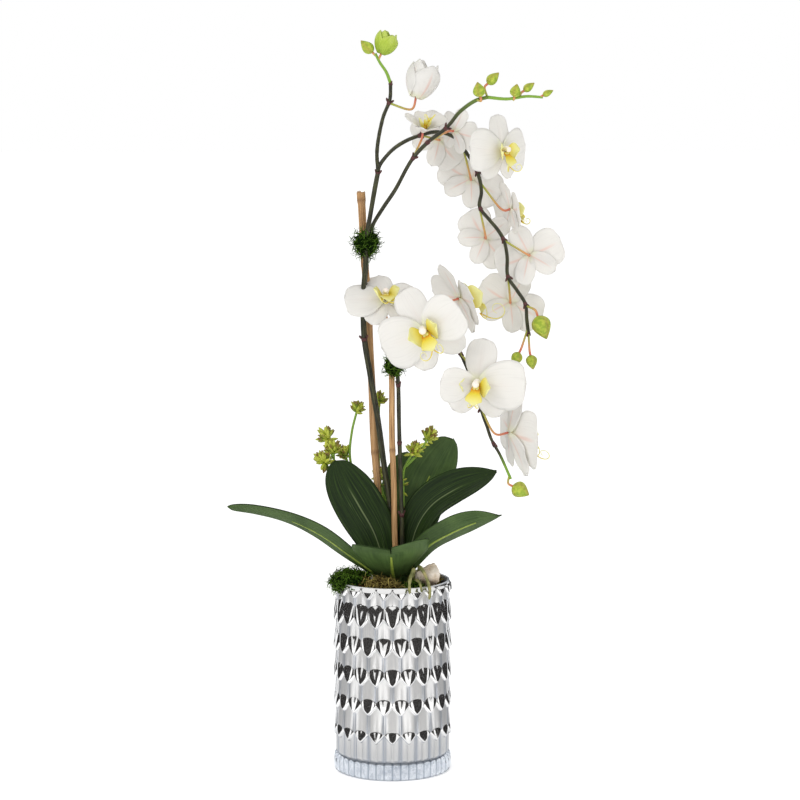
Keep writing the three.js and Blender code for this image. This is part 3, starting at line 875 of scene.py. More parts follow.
@dataclass(frozen=True)
class BudSkin(Finish):
    """A closed bud: yellow-green, flushed brownish rose at its tip and along its seams."""

    name: str = "bud_skin"
    green: Colour = (0.26, 0.38, 0.03)
    lime: Colour = (0.46, 0.54, 0.06)
    rose: Colour = (0.34, 0.18, 0.05)

    def dress(self, recipe: Recipe) -> None:
        """Tags: along runs to the tip, back is how close a seam is.

        Args:
            recipe: the material so far.
        """
        cloud = recipe.noise(260.0, 3.0)
        tone = recipe.mix(recipe.level(cloud, 0.36, 0.66), self.green, self.lime)
        tip = recipe.level(recipe.sum("MULTIPLY_ADD", cloud, 0.5, recipe.tag("Red")), 0.95, 1.35)
        tone = recipe.mix(recipe.times(tip, 0.75), tone, self.rose)
        recipe.colour(recipe.mix(recipe.times(recipe.tag("Blue"), 0.45), tone, self.rose))
        recipe.set(Roughness=0.45, Specular_IOR_Level=0.4)
        recipe.bump(recipe.streaks(18.0, 3.0), 0.35, 0.6)


@dataclass(frozen=True)
class LeafFace(Finish):
    """The upper face of a leaf: deep green and satin, with fine pale streaks along it."""

    name: str = "leaf_face"
    deep: Colour = (0.007, 0.017, 0.004)
    green: Colour = (0.024, 0.050, 0.008)
    streak: Colour = (0.17, 0.21, 0.10)

    def dress(self, recipe: Recipe) -> None:
        """Tags: along and across the leaf.

        Args:
            recipe: the material so far.
        """
        fine = recipe.streaks(46.0, 2.2, 3.0)
        off = recipe.sum("ABSOLUTE", recipe.sum("SUBTRACT", recipe.tag("Green"), 0.5))
        tone = recipe.mix(recipe.level(fine, 0.35, 0.7), self.deep, self.green)
        pale = recipe.times(recipe.level(fine, 0.60, 0.72), recipe.level(recipe.tag("Red"), 0.85, 0.6))
        tone = recipe.mix(recipe.times(pale, 0.34), tone, self.streak)
        middle = recipe.times(recipe.level(off, 0.022, 0.006), recipe.level(recipe.tag("Red"), 0.8, 0.62))
        recipe.colour(recipe.mix(recipe.times(middle, 0.65), tone, self.streak))
        recipe.set(Roughness=0.42, Specular_IOR_Level=0.20)
        recipe.bump(fine, 0.5, 0.55)


@dataclass(frozen=True)
class LeafUnderside(Finish):
    """The underside of a leaf: greyer, paler and duller than its face."""

    name: str = "leaf_underside"
    deep: Colour = (0.028, 0.060, 0.014)
    green: Colour = (0.075, 0.130, 0.034)

    def dress(self, recipe: Recipe) -> None:
        """Tags: along and across the leaf.

        Args:
            recipe: the material so far.
        """
        fine = recipe.streaks(38.0, 2.0, 3.0)
        cloud = recipe.noise(30.0, 3.0)
        share = recipe.sum("MULTIPLY_ADD", cloud, 0.6, recipe.times(fine, 0.4))
        recipe.colour(recipe.ramp(share, (0.32, self.deep), (0.62, self.green)))
        recipe.set(Roughness=0.50, Specular_IOR_Level=0.26)
        recipe.bump(fine, 0.4, 0.45)


class MossKind(Enum):
    """The two mosses that the pot is dressed with: their name and their dark and light colours."""

    GREEN = ("green_moss_fibres", (0.004, 0.013, 0.001), (0.115, 0.225, 0.024))
    GOLDEN = ("golden_moss_fibres", (0.040, 0.020, 0.005), (0.58, 0.47, 0.14))


@dataclass(frozen=True)
class MossFibre(Finish):
    """Fine dry or dyed fibres, each of its own tone, with painted shade at the root and a paler tip that is
    partly painted highlight.
    """

    kind: MossKind

    @property
    def name(self) -> str:
        """The name of the kind of moss."""
        return self.kind.value[0]

    def dress(self, recipe: Recipe) -> None:
        """Tags: along each fibre, and its chance.

        Args:
            recipe: the material so far.
        """
        _, dark, light = self.kind.value
        own = recipe.times(recipe.tag("Alpha"), 0.65)
        # darker toward each fibre's root and paler toward its tip: painted shade deep in the cushion and a
        # partly painted highlight on the tips, over each fibre's own tone
        share = recipe.sum("MULTIPLY_ADD", recipe.tag("Red"), 0.35, own)
        tone = recipe.ramp(share, (0.25, dark), (0.85, light))
        patch = recipe.level(recipe.noise(60.0, 3.0), 0.42, 0.64)
        recipe.colour(recipe.mix(recipe.times(patch, 0.25), tone, dark))
        recipe.set(Roughness=0.85, Specular_IOR_Level=0.06)


@dataclass(frozen=True)
class BrokenStone(Finish):
    """A broken tan stone with pale grains."""

    name: str = "broken_stone"

    def dress(self, recipe: Recipe) -> None:
        """Pale and brown patches with a gritty face.

        Args:
            recipe: the material so far.
        """
        cloud = recipe.noise(75.0, 6.0)
        grit = recipe.noise(700.0, 4.0)
        tone = recipe.ramp(cloud, (0.3, (0.30, 0.21, 0.13)), (0.5, (0.58, 0.48, 0.36)),
                           (0.7, (0.78, 0.70, 0.60)))
        recipe.colour(recipe.mix(recipe.times(recipe.level(grit, 0.5, 0.7), 0.3), tone, (0.86, 0.82, 0.76)))
        recipe.set(Roughness=0.8)
        recipe.bump(recipe.sum("ADD", cloud, recipe.times(grit, 0.4)), 1.2, 0.7)


@dataclass(frozen=True)
class RootSkin(Finish):
    """Aerial roots: olive-tan with darker green patches."""

    name: str = "root_skin"

    def dress(self, recipe: Recipe) -> None:
        """Patches along the root and a rough skin.

        Args:
            recipe: the material so far.
        """
        patch = recipe.noise(130.0, 4.0)
        recipe.colour(recipe.ramp(patch, (0.32, (0.085, 0.095, 0.025)), (0.52, (0.24, 0.24, 0.085)),
                                  (0.72, (0.42, 0.34, 0.16))))
        recipe.set(Roughness=0.7)
        recipe.bump(recipe.noise(600.0, 3.0), 0.5, 0.6)


@dataclass(frozen=True)
class SedumSkin(Finish):
    """Fleshy leaflets: yellow-green, some of them brown at the tip."""

    name: str = "sedum_skin"

    def dress(self, recipe: Recipe) -> None:
        """Tags: along each leaflet, and its chance.

        Args:
            recipe: the material so far.
        """
        tone = recipe.ramp(recipe.tag("Alpha"), (0.1, (0.12, 0.19, 0.012)), (0.5, (0.32, 0.40, 0.030)),
                           (0.95, (0.50, 0.54, 0.07)))
        browned = recipe.level(recipe.tag("Alpha"), 0.8, 0.2)
        tip = recipe.times(recipe.level(recipe.tag("Red"), 0.45, 0.95), browned)
        recipe.colour(recipe.mix(recipe.times(tip, 0.8), tone, (0.20, 0.08, 0.025)))
        recipe.set(Roughness=0.5)
        recipe.bump(recipe.noise(900.0, 2.0), 0.25, 0.5)


# ------------------------ vase and fill

@dataclass
class Vase:
    """The pressed-glass cylinder: rows of pointed scales above a fluted waist and a clear foot."""

    scales_round: int = 22
    scale_rows: int = 6
    scale_pitch: float = 34.7
    lowest_tip: float = 44.0
    tip_depth: float = 0.31
    creases: tuple[float, ...] = (0.44, 0.56, 0.62, 0.69, 0.82, 0.69)
    scale_length: float = 1.33
    bulge: float = 3.4
    lean: float = 0.0052
    side_fall: float = 0.52
    tip_round: float = 0.06
    tip_fall: float = 0.22
    crease_arch: float = 0.13
    upper_share: float = 0.85
    step_share: float = 0.05
    waist: float = 1.6
    flute_depth: float = 2.1
    foot_height: float = 21.5
    facet_depth: float = 1.5
    flutes: int = 44
    lip: float = 2.4
    rim_out: float = 0.6
    rim_round: float = 1.0
    fade: float = 3.0
    height_step: float = 0.55
    points_per_scale: int = 22
    radius: float = field(init=False)
    inner: float = field(init=False)
    floor: float = field(init=False)

    def __post_init__(self) -> None:
        """Takes the vase's outer and inner sizes from the part."""
        low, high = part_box("vase")
        self.radius = (high.x - low.x) / 2 / MM
        fill_low, fill_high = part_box("potting_fill")
        self.inner = (fill_high.x - fill_low.x) / 2 / MM + 0.2
        self.floor = fill_low.z / MM - 0.2

    def relief(self, turn: Array, height: Array) -> tuple[Array, Array, Array]:
        """Presses the scales into the wall.

        Args:
            turn: the angle of each point round the vase.
            height: the height of each point.

        Returns:
            How far each point stands proud, how polished it is, and its place across its scale.
        """
        proud = np.full(turn.shape, -self.waist) + self.flute_depth * np.abs(np.sin(turn * self.flutes / 2))
        polish = np.zeros(turn.shape)
        place = (turn * self.scales_round / (2 * math.pi)) % 1
        free = np.ones(turn.shape, bool)
        for row in reversed(range(self.scale_rows)):
            rise = (height - self.lowest_tip) / self.scale_pitch - row
            own = (turn * self.scales_round / (2 * math.pi) + row / 2) % 1
            across = 2 * own - 1
            edge = self.tip_depth * np.abs(across) ** 1.25
            here = free & (rise >= edge)
            crease = self.creases[row] - self.crease_arch * np.abs(across) ** 2.5
            climbed = np.minimum(rise, crease) - edge
            full = self.bulge * (1 - self.side_fall * np.abs(across) ** 2.1)
            leaned = self.lean * (np.maximum(climbed, 0) * self.scale_pitch) ** 2
            rounding = self.tip_fall * self.bulge * np.clip(1 - climbed / self.tip_round, 0, 1) ** 2
            lower = full - leaned - rounding
            high = np.clip((rise - crease) / (self.scale_length - crease), 0, 1)
            at_crease = full - self.lean * ((crease - edge) * self.scale_pitch) ** 2
            upper = at_crease * self.upper_share * (1 - high) ** 1.3 + 0.05
            over = np.clip((rise - crease + 0.015) / self.step_share, 0, 1)
            over = over * over * (3 - 2 * over)
            step = np.clip((rise - edge) / self.step_share, 0, 1)
            wanted = (lower + (upper - lower) * over) * (0.35 + 0.65 * np.sqrt(step))
            proud[here] = wanted[here]
            polish[here] = (1 - over)[here]
            place[here] = own[here]
            free &= ~here
        return proud, polish, place

    def body(self) -> Thing:
        """Builds the silvered wall, closed over its own thickness.

        Returns:
            The piece.
        """
        base = self.radius - self.bulge
        sides = self.scales_round * self.points_per_scale
        start, top = self.foot_height + 0.3, RIM_TOP
        heights = np.arange(start, top - self.lip, self.height_step)
        turn = 2 * math.pi * np.arange(sides) / sides
        turns, levels = np.meshgrid(turn, heights)
        proud, polish, place = self.relief(turns, levels)
        rise_in = np.clip((levels - start) / self.fade, 0, 1)
        near_rim = np.clip((top - self.lip - levels) / self.fade, 0, 1)
        proud = self.rim_out + (proud - self.rim_out) * near_rim
        outside = base + proud * rise_in - (1 - rise_in) * self.waist
        bend = np.linspace(0, math.pi, 7)
        middle, half = (base + self.rim_out + self.inner) / 2, (base + self.rim_out - self.inner) / 2
        rim = np.repeat((middle + half * np.cos(bend))[:, None], sides, 1)
        rim_heights = top - self.rim_round + self.rim_round * np.sin(bend)
        inside = np.full((2, sides), self.inner)
        radii = np.vstack([outside, rim, inside])
        levels_all = np.concatenate([heights, rim_heights, [FILL_TOP, self.floor]])
        tags = np.zeros((*radii.shape, 4))
        tags[..., 0] = (levels_all / top)[:, None]
        tags[..., 1] = np.vstack([place, np.repeat(turn[None, :] / (2 * math.pi), len(bend) + 2, 0)])
        tags[..., 2] = np.vstack([polish, np.full((len(bend) + 2, sides), 0.3)])
        tags[..., 3] = 0.5
        surface = Surface()
        surface.turned(radii, levels_all, tags)
        return surface.made("vase_silvered_wall", [SilveredGlass()])

    def foot(self) -> Thing:
        """Builds the thick clear foot with its upright facets.

        Returns:
            The piece.
        """
        sides = self.flutes * 10
        profile = np.array([[-4.2, 0.0], [-2.0, 0.5], [-0.9, 2.2], [-0.5, 6.0], [-0.5, 15.0], [-0.6, 19.0],
                            [-1.6, 20.8], [-3.8, 21.3]])
        turn = 2 * math.pi * np.arange(sides) / sides
        facet = self.facet_depth * np.abs(np.sin(turn * self.flutes / 2))
        facet = facet + 0.3 * np.sin(turn * 7) * np.sin(turn * 3) - 0.6
        depth = np.array([0.2, 0.7, 1.0, 1.0, 1.0, 0.9, 0.5, 0.0])
        radii = self.radius + profile[:, :1] - 1.0 + depth[:, None] * facet
        tags = np.full((*radii.shape, 4), 0.5)
        tags[..., 2] = 1 - np.abs(np.sin(turn * self.flutes / 2))
        surface = Surface()
        surface.turned(radii, profile[:, 1], tags)
        return surface.made("vase_clear_foot", [ClearGlass()])

    def build(self) -> list[Thing]:
        """Builds the wall and the foot."""
        wall, foot = self.body(), self.foot()
        return [settle(wall, "vase_glass", "vase"), settle(foot, "vase_glass")]


@dataclass
class PottingFill:
    """The block that holds the plant, with loose bark on its top."""

    chips: int = 420
    chip_size: tuple[float, float] = (1.6, 4.2)
    sides: int = 60
    seed: int = 11

    def build(self) -> list[Thing]:
        """Builds the block and strews the bark.

        Returns:
            The one piece, in a list.
        """
        low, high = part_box("potting_fill")
        radius = (high.x - low.x) / 2 / MM
        rng = np.random.default_rng(self.seed)
        surface = Surface()
        rings = np.array([0.9, 1.0, 1.0, 0.99, 0.8, 0.55, 0.3]) * radius
        floor = low.z / MM
        heights = np.array([floor, floor + 2, FILL_TOP - 3, FILL_TOP - 1, FILL_TOP, FILL_TOP, FILL_TOP])
        radii = np.repeat(rings[:, None], self.sides, 1)
        radii[4:] *= 1 + 0.05 * rng.standard_normal((3, self.sides))
        heights += np.array([0, 0, 0, 0, 0.2, 0.5, 0.3])
        surface.turned(radii, heights, np.full((*radii.shape, 4), 0.5))
        for _ in range(self.chips):
            out = (radius - 5) * math.sqrt(rng.random())
            turn = 2 * math.pi * rng.random()
            size = rng.uniform(*self.chip_size, 3) * np.array([1.0, 0.7, 0.4])
            centre = np.array([out * math.cos(turn), out * math.sin(turn), FILL_TOP + rng.uniform(0.0, 2.5)])
            tilt = frame_along(rng.standard_normal(3) * np.array([0.4, 0.4, 1.0]), rng.standard_normal(3))
            surface.ball(centre, size, tilt, chance=rng.random(), sides=5, rings=2)
        return [settle(surface.made("bark_bed", [BARK_CHIPS]), "potting_fill", "potting_fill")]


# ------------------------ stakes and stems

STEM_RADIUS = 2.8
BRANCH_RADIUS = 2.3
TIP_RADIUS = 1.5
STALK_RADIUS = 1.25
SPACING = 0.5
SOCKET_DEPTH = 70.0
TALL_STAKE_RADIUS = 4.8
SHORT_STAKE_RADIUS = 3.75
BEHIND = 2 * STEM_RADIUS + SPACING
BEHIND_BOTH = BEHIND + STEM_RADIUS + TALL_STAKE_RADIUS + SPACING
RIGHT_OF_STAKE = SHORT_STAKE_RADIUS + STEM_RADIUS + SPACING


@dataclass
class Stake:
    """A bamboo stake with swollen dark joints."""

    name: str
    node: str
    foot: Point
    top: Point
    radius: float
    joints: tuple[float, ...]
    splinters: int = 0
    swell: float = 0.13
    groove: float = 0.10
    rows: int = 240
    seed: int = 5

    def build(self) -> list[Thing]:
        """Builds the cane and any splinters at its cut end.

        Returns:
            The one piece, in a list.
        """
        ends = planted([self.foot, self.top])
        line = ends[0] + np.linspace(0, 1, self.rows)[:, None] * (ends[1] - ends[0])
        rng = np.random.default_rng(self.seed)
        height = line[:, 2] - FILL_TOP
        line[:, 0] += 0.5 * np.sin(height / 41.0) + 0.3 * np.sin(height / 17.0)
        radii = self.radius * (0.95 + 0.02 * np.sin(height / 23.0))
        dark = np.zeros(len(line))
        for joint in self.joints:
            near = np.exp(-((height - joint) / 3.0) ** 2)
            ring = np.exp(-((height - joint - 0.8) / 1.0) ** 2)
            radii = radii + self.radius * (self.swell * near - self.groove * ring)
            dark = np.maximum(dark, 0.55 * near + 0.45 * ring)
        if self.splinters:
            radii = radii + self.radius * 0.14 * np.clip((height - self.top[2] + 14) / 14, 0, 1)
        surface = Surface()
        surface.tube(line, radii, 18, back=dark)
        for i in range(self.splinters):
            turn = 2 * math.pi * (i + rng.random() * 0.5) / self.splinters
            out = np.array([math.cos(turn), math.sin(turn), 0.0])
            root = line[-1] + out * self.radius * 0.8 - np.array([0, 0, 3.0])
            tip = root + out * 0.5 + np.array([0, 0, rng.uniform(3.2, 5.2)])
            surface.tube(np.linspace(root, tip, 4), np.array([0.9, 0.8, 0.6, 0.2]), 5, chance=rng.random())
        return [settle(surface.made(self.name, [Bamboo()]), "bamboo", self.node)]


@dataclass(frozen=True)
class Stretch:
    """One stretch of a spike: its route from the top of the fill, its radii and where it turns green."""

    route: tuple[Point, ...]
    radius: float
    end_radius: float
    green_from: float = 2.0


@dataclass
class Spike:
    """A flower spike with dry bracts at its joints."""

    name: str
    node: str
    stretches: tuple[Stretch, ...]
    bracts: tuple[tuple[float, float], ...]
    step: float = 2.2
    greening: float = 0.12
    seed: int = 3

    def bract(self, surface: Surface, line: Array, at: int, radius: float, rng: np.random.Generator) -> None:
        """Wraps one bract round a stem.

        Args:
            surface: what the bract is added to.
            line: the stem's middle line.
            at: the point of the line that the bract sits on.
            radius: the stem's radius there.
            rng: where the bract's small differences come from.
        """
        span = line[max(at - 1, 0):at + 2]
        flare = radius + np.linspace(0.25, 0.9, len(span))
        surface.tube(span, flare, 10, paint=1, chance=rng.random())
        tangent = unit(span[-1] - span[0])
        turn = frame_along(tangent, rng.standard_normal(3))
        for hand in (-1, 1):
            lean = unit(tangent + 0.75 * hand * turn[:, 0])
            centre = span[-1] + hand * (radius + 0.9) * turn[:, 0] + 0.8 * tangent
            surface.ball(centre, np.array([1.0, 1.5, 3.0]), frame_along(lean), paint=1, chance=rng.random(),
                         sides=8, rings=5)

    def build(self) -> list[Thing]:
        """Builds the stems and their bracts as one piece.

        Returns:
            The one piece, in a list.
        """
        surface = Surface()
        rng = np.random.default_rng(self.seed)
        lines = []
        for stretch in self.stretches:
            line = smooth_line(planted(stretch.route), self.step)
            share = shares(line)
            radii = stretch.radius + (stretch.end_radius - stretch.radius) * share
            green = np.clip((share - stretch.green_from) / self.greening, 0, 1)
            surface.tube(line, radii * (1 + 0.03 * np.sin(share * 60)), 12, chance=rng.random(), back=green)
            lines.append((line, radii))
        for x, height in self.bracts:
            places = [(np.hypot(line[:, 0] - x, line[:, 2] - FILL_TOP - height), line, radii)
                      for line, radii in lines]
            gap, line, radii = min(places, key=lambda place: place[0].min())
            at = int(gap.argmin())
            self.bract(surface, line, at, radii[at], rng)
        return [settle(surface.made(self.name, [StemSkin(), BRACT_SKIN]), "stem", self.node)]


FORKED_RISE = (
    (7, 6, -SOCKET_DEPTH), (4, 5.5, 3), (1, 5, 56), (-3, 4.5, 104), (-10, 3.5, 146), (-18, 2, 206),
    (-26, 0.5, 254), (-34, -0.5, 305), (-35, -1.5, 350), (-32, -2, 395), (-31, -2, 421), (-26, -2, 451),
    (-21, -1, 480), (-17, 0, 501),
)
FORKED_TOP = ((-17, 0, 501), (-18, 0, 527), (-11, 0, 565), (-3, 0, 586), (-2, 0, 605))
FORKED_TIP = ((-2, 0, 605), (-7, 0, 618), (-15, 0, 630), (-20, 0, 640))
ARCH = (
    (-17, 0, 501), (-15, 4, 509), (0, 10, 527), (15, 13, 537), (30, 16, 543), (53, 20, 548), (74, 25, 541),
    (86, 28, 526), (98, 30, 507), (104, 30, 491), (106, 30, 476), (104, 30, 459), (116, 30, 443),
    (126, 30, 431), (133, 30, 419), (137, 30, 400), (138, 30, 376), (149, 30, 359), (159, 30, 343),
    (161, 30, 323), (163, 30, 307),
)
BUDDED_RISE = tuple((x + 1.5, y + BEHIND, z) for x, y, z in FORKED_RISE if z < 423)
BUDDED_SWING = (
    (-23.5, 5.5, 438), (-11, 1, 459), (3, -5, 480), (23, -12, 516), (41, -15, 536), (64, -15, 554),
    (79, -18, 572), (97, -20, 585), (111, -20, 589),
)
BUDDED_TIP = ((111, -20, 589), (134, -20, 587), (157, -20, 590), (176, -20, 589))
LOW_RISE = (
    (5.5 + RIGHT_OF_STAKE, -4, -SOCKET_DEPTH), (4.5 + RIGHT_OF_STAKE, -4, 68),
    (2.5 + RIGHT_OF_STAKE, -4, 146), (1 + RIGHT_OF_STAKE, -4, 194), (RIGHT_OF_STAKE, -4, 248),
    (RIGHT_OF_STAKE - 1, -5, 272), (14, -13, 298), (33, -10, 315), (56, -10, 315), (65, -14, 308),
    (74, -18, 297),
)
LOW_DROOP = (
    (74, -18, 297), (82, -18, 285), (94, -10, 256), (102, -12, 234), (106, -12, 218), (112, -12, 201),
    (118, -12, 184), (128, -10, 166), (141, -10, 137),
)

STAKES = (
    Stake("tall_bamboo_stake", "stake_tall", (-8, 6 + BEHIND_BOTH, -SOCKET_DEPTH),
          (-37, -3 + BEHIND_BOTH, 477), TALL_STAKE_RADIUS, (-30.0, 166.0, 392.0, 468.0), splinters=13),
    Stake("short_bamboo_stake", "stake_short", (5, -4, -SOCKET_DEPTH), (-1.5, -4, 283), SHORT_STAKE_RADIUS,
          (40.0, 171.0)),
)
SPIKES = (
    Spike("forked_spike", "spike_forked",
          (Stretch(FORKED_RISE, STEM_RADIUS, STEM_RADIUS), Stretch(FORKED_TOP, BRANCH_RADIUS, 2.1),
           Stretch(FORKED_TIP, 2.0, TIP_RADIUS, -1.0), Stretch(ARCH, BRANCH_RADIUS, 2.1)),
          ((-34, 302), (-17, 501), (-4, 581), (-2, 605), (33, 543), (83, 530), (101, 500), (106, 457),
           (133, 421), (138, 377), (159, 343), (163, 307))),
    Spike("budded_spike", "spike_budded",
          (Stretch(BUDDED_RISE + BUDDED_SWING, STEM_RADIUS, 2.2, 0.93),
           Stretch(BUDDED_TIP, 2.0, TIP_RADIUS, -1.0)),
          ((25, 518), (41, 535), (62, 552))),
    Spike("low_spike", "spike_low",
          (Stretch(LOW_RISE, STEM_RADIUS, BRANCH_RADIUS), Stretch(LOW_DROOP, BRANCH_RADIUS, 1.6, 0.80)),
          ((9.5, 248), (9, 179), (11, 93), (80, 290), (104, 223), (121, 180))),
)


# ------------------------ leaves

@dataclass
class Leaf:
    """A strap leaf along a smooth midline, folded a little along it, with a wire behind."""

    node: str
    route: tuple[Point, ...]
    width: float
    face: Point
    fold: float
    stalk: float = 0.3
    thickness: float = 1.5
    wire: tuple[float, float] = (0.04, 0.72)
    wire_radius: float = 1.5
    notch: float = 0.0
    notch_reach: float = 0.16
    ripple: float = 1.2
    widest: float = 0.55
    sharp: float = 0.5
    rows: int = 64
    columns: int = 25

    def width_share(self, along: Array) -> Array:
        """Widens the leaf from its stalk and closes it at its tip.

        Args:
            along: places along the leaf, from 0 to 1.

        Returns:
            The leaf's width there, as a share of its full width.
        """
        widening = self.stalk + (1 - self.stalk) * np.sin(0.5 * math.pi * np.minimum(1, along / self.widest))
        past = np.maximum(along - self.widest - 0.03, 0) / (0.97 - self.widest)
        ending = np.maximum(0.0, 1 - past ** 2.3) ** self.sharp
        return np.maximum(widening * ending, 0.03)

    def build(self) -> list[Thing]:
        """Builds the blade, dark above and dull below, and the wire.

        Returns:
            The one piece, in a list.
        """
        line = smooth_line(planted(self.route), 1.5)
        along = np.linspace(0, 1, self.rows)
        line = np.array([np.interp(along, shares(line), line[:, i]) for i in range(3)]).T
        tangents = unit(np.gradient(line, axis=0))
        upper = unit(np.array(self.face, float))
        side = unit(np.cross(tangents, upper))
        normal = np.cross(side, tangents)
        across = np.linspace(-1, 1, self.columns)
        half = 0.5 * self.width * self.width_share(along)
        reach = half[:, None] * across[None, :]
        lift = self.fold * np.sqrt(reach ** 2 + (0.08 * self.width) ** 2)
        waves = np.sin(9 * along[:, None] + 2.2 * np.sign(across)[None, :])
        lift += self.ripple * (across ** 2)[None, :] * waves * along[:, None]
        lift += 0.35 * np.cos(across * 26.0)[None, :] * np.minimum(half / self.width * 2, 1)[:, None]
        grid = line[:, None, :] + reach[..., None] * side[:, None, :] + lift[..., None] * normal[:, None, :]
        near_tip = np.clip((along - 0.55) / 0.45, 0, 1) ** 1.5
        dip = self.notch * np.exp(-(across / self.notch_reach) ** 2)[None, :] * near_tip[:, None]
        grid -= dip[..., None] * tangents[:, None, :]
        surface = Surface()
        surface.sheet(grid, self.thickness, paint=0, back_paint=1)
        first, last = (int(share * (self.rows - 1)) for share in self.wire)
        middle = grid[first:last, self.columns // 2] - normal[first:last] * (self.thickness + 0.2)
        surface.tube(middle, np.linspace(1.0, 0.5, len(middle)) * self.wire_radius, 8, paint=2)
        name = self.node.replace("leaf_", "") + "_leaf"
        piece = surface.made(name, [LeafFace(), LeafUnderside(), LEAF_WIRE])
        return [settle(piece, "leaf", self.node)]


LEAVES = (
    Leaf("leaf_long_left", ((-8, -1, 12), (-51, -14, 46), (-87, -17, 72), (-123, -17, 89), (-165, -14, 100),
                            (-196, -10, 103)), 37, (0.05, 0.5, 0.86), 0.15, stalk=0.18, wire=(0.1, 0.66)),
    Leaf("leaf_upright_left", ((-6, -8, 20), (-22, -8, 71), (-41, -5, 105), (-57, 0, 133), (-67, 6, 157)), 60,
         (0.2, -0.92, 0.35), 0.12),
    Leaf("leaf_front", ((2, -9, 12), (0, -36, 30), (-1, -60, 46), (-2, -81, 64)), 90, (-0.05, 0.55, 0.83),
         0.34, stalk=0.06, wire=(0.12, 0.90), wire_radius=2.3, notch=13.0, notch_reach=0.55, ripple=2.0,
         widest=0.90, sharp=0.42),
    Leaf("leaf_low_right", ((14, -8, 20), (40, -18, 55), (68, -24, 73), (97, -25, 86), (130, -20, 95)), 41,
         (-0.2, 0.72, 0.66), 0.34, wire=(0.1, 0.80), wire_radius=1.8, sharp=1.1),
    Leaf("leaf_middle_right", ((16, 0, 20), (30, -1, 76), (47, 1, 102), (75, 4, 121), (125, 6, 143)), 50,
         (-0.45, -0.72, 0.5), 0.42, notch=2.0, sharp=0.85),
    Leaf("leaf_upright_right", ((15, 10, 20), (28, 22, 90), (44, 32, 133), (60, 38, 162), (72, 40, 179)), 60,
         (0.15, 0.92, 0.35), 0.12, wire=(0.1, 0.72), notch=2.5),
    Leaf("leaf_back", ((6, 14, 20), (8, 40, 83), (12, 56, 128), (16, 66, 159)), 50, (0.05, 0.85, 0.5), 0.15),
)


@dataclass
class Crown:
    """The hub of old leaf bases that the leaves and roots grow from."""

    bases: int = 9
    base_radii: Point = (5.0, 2.4, 14.0)
    core_height: float = 15.0
    seed: int = 21

    def build(self) -> list[Thing]:
        """Builds a ring of pointed leaf bases round a core.

        Returns:
            The one piece, in a list.
        """
        low, high = (np.array(corner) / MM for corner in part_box("crown"))
        centre, reach = (low + high) / 2, (high[0] - low[0]) / 2
        rng = np.random.default_rng(self.seed)
        surface = Surface()
        core = np.array([reach * 0.8, reach * 0.8, self.core_height])
        surface.ball(centre - np.array([0, 0, 4.0]), core, np.eye(3), paint=1, sides=16)
        for i in range(self.bases):
            turn = 2 * math.pi * i / self.bases
            out = np.array([math.cos(turn), math.sin(turn), 0.0])
            foot = centre + out * reach * 0.62 - np.array([0, 0, 14.0])
            lean = unit(out * 0.25 + np.array([0, 0, 1.0]))
            surface.ball(foot + lean * 11, np.array(self.base_radii), frame_along(lean, -out),
                         paint=i % 2, chance=rng.random())
        return [settle(surface.made("leaf_bases", [LeafFace(), LeafUnderside()]), "leaf", "crown")]


# ------------------------ flowers

@dataclass(frozen=True)
class PetalShape:
    """One petal's outline, as shares of the flower's width: how long and wide it is, how its width rises
    and ends, how far its broad side leans, where it points and how far in front it sits."""

    length: float
    width: float
    rise: float
    end: float
    lean: float
    heading: float
    ahead: float


class PetalKind(Enum):
    """The five petals and sepals of a moth orchid."""

    TOP = PetalShape(0.45, 0.34, 0.60, 0.40, 0.0, 90.0, -0.014)
    RIGHT = PetalShape(0.505, 0.56, 0.62, 0.36, 0.12, 6.0, 0.010)
    LEFT = PetalShape(0.505, 0.56, 0.62, 0.36, -0.12, 174.0, 0.010)
    LOWER_RIGHT = PetalShape(0.44, 0.30, 0.60, 0.46, -0.06, -57.0, -0.014)
    LOWER_LEFT = PetalShape(0.44, 0.30, 0.60, 0.46, 0.06, -123.0, -0.014)


def petal_grid(shape: PetalShape, width: float, rng: np.random.Generator, rows: int = 20,
               columns: int = 15) -> Array:
    """Lays out a petal in the flower's own frame.

    Args:
        shape: the petal's outline.
        width: the flower's width.
        rng: where the petal's small differences come from.
        rows: points along it.
        columns: points across it.

    Returns:
        A grid of points, along by across.
    """
    along = np.linspace(0.02, 1.0, rows)
    across = np.linspace(-1, 1, columns)
    share = along ** shape.rise * np.maximum(1 - along, 0.0) ** shape.end
    peak = shape.rise / (shape.rise + shape.end)
    share = np.maximum(share / (peak ** shape.rise * (1 - peak) ** shape.end), 0.04)
    half = 0.5 * width * shape.width * share
    reach = half[:, None] * (across[None, :] + shape.lean)
    x, y = reach, np.repeat((along * width * shape.length)[:, None], columns, 1)
    turn = math.radians(shape.heading - 90 + rng.uniform(-3, 3))
    flat_x = x * math.cos(turn) - y * math.sin(turn)
    flat_y = x * math.sin(turn) + y * math.cos(turn)
    phase = rng.uniform(0, 2 * math.pi, 3)
    wave = np.sin(8.5 * along[:, None] + phase[0] + 2.0 * np.sign(across)[None, :]) * across[None, :] ** 2
    wave += 0.5 * np.sin(15 * along[:, None] + phase[1]) * across[None, :] ** 4
    dome = -0.34 / width * (flat_x ** 2 + flat_y ** 2)
    groove = -0.006 * width * np.exp(-(across / 0.10) ** 2)[None, :] * np.sin(math.pi * along)[:, None]
    tip_bend = 0.010 * width * rng.uniform(-1, 1) * (along ** 3)[:, None]
    z = shape.ahead * width + dome + groove + tip_bend + 0.014 * width * wave * along[:, None]
    return np.stack([flat_x, flat_y, z], -1)


def closed_by(points: Array, cup: float) -> Array:
    """Folds a flower's points forward, as in a flower that is not quite open.

    Args:
        points: points in the flower's own frame.
        cup: how many degrees they fold.

    Returns:
        The folded points.
    """
    lift = math.radians(cup)
    reach = np.hypot(points[..., 0], points[..., 1])
    moved = points * np.array([math.cos(lift), math.cos(lift), 1.0])
    moved[..., 2] += reach * math.sin(lift)
    return moved


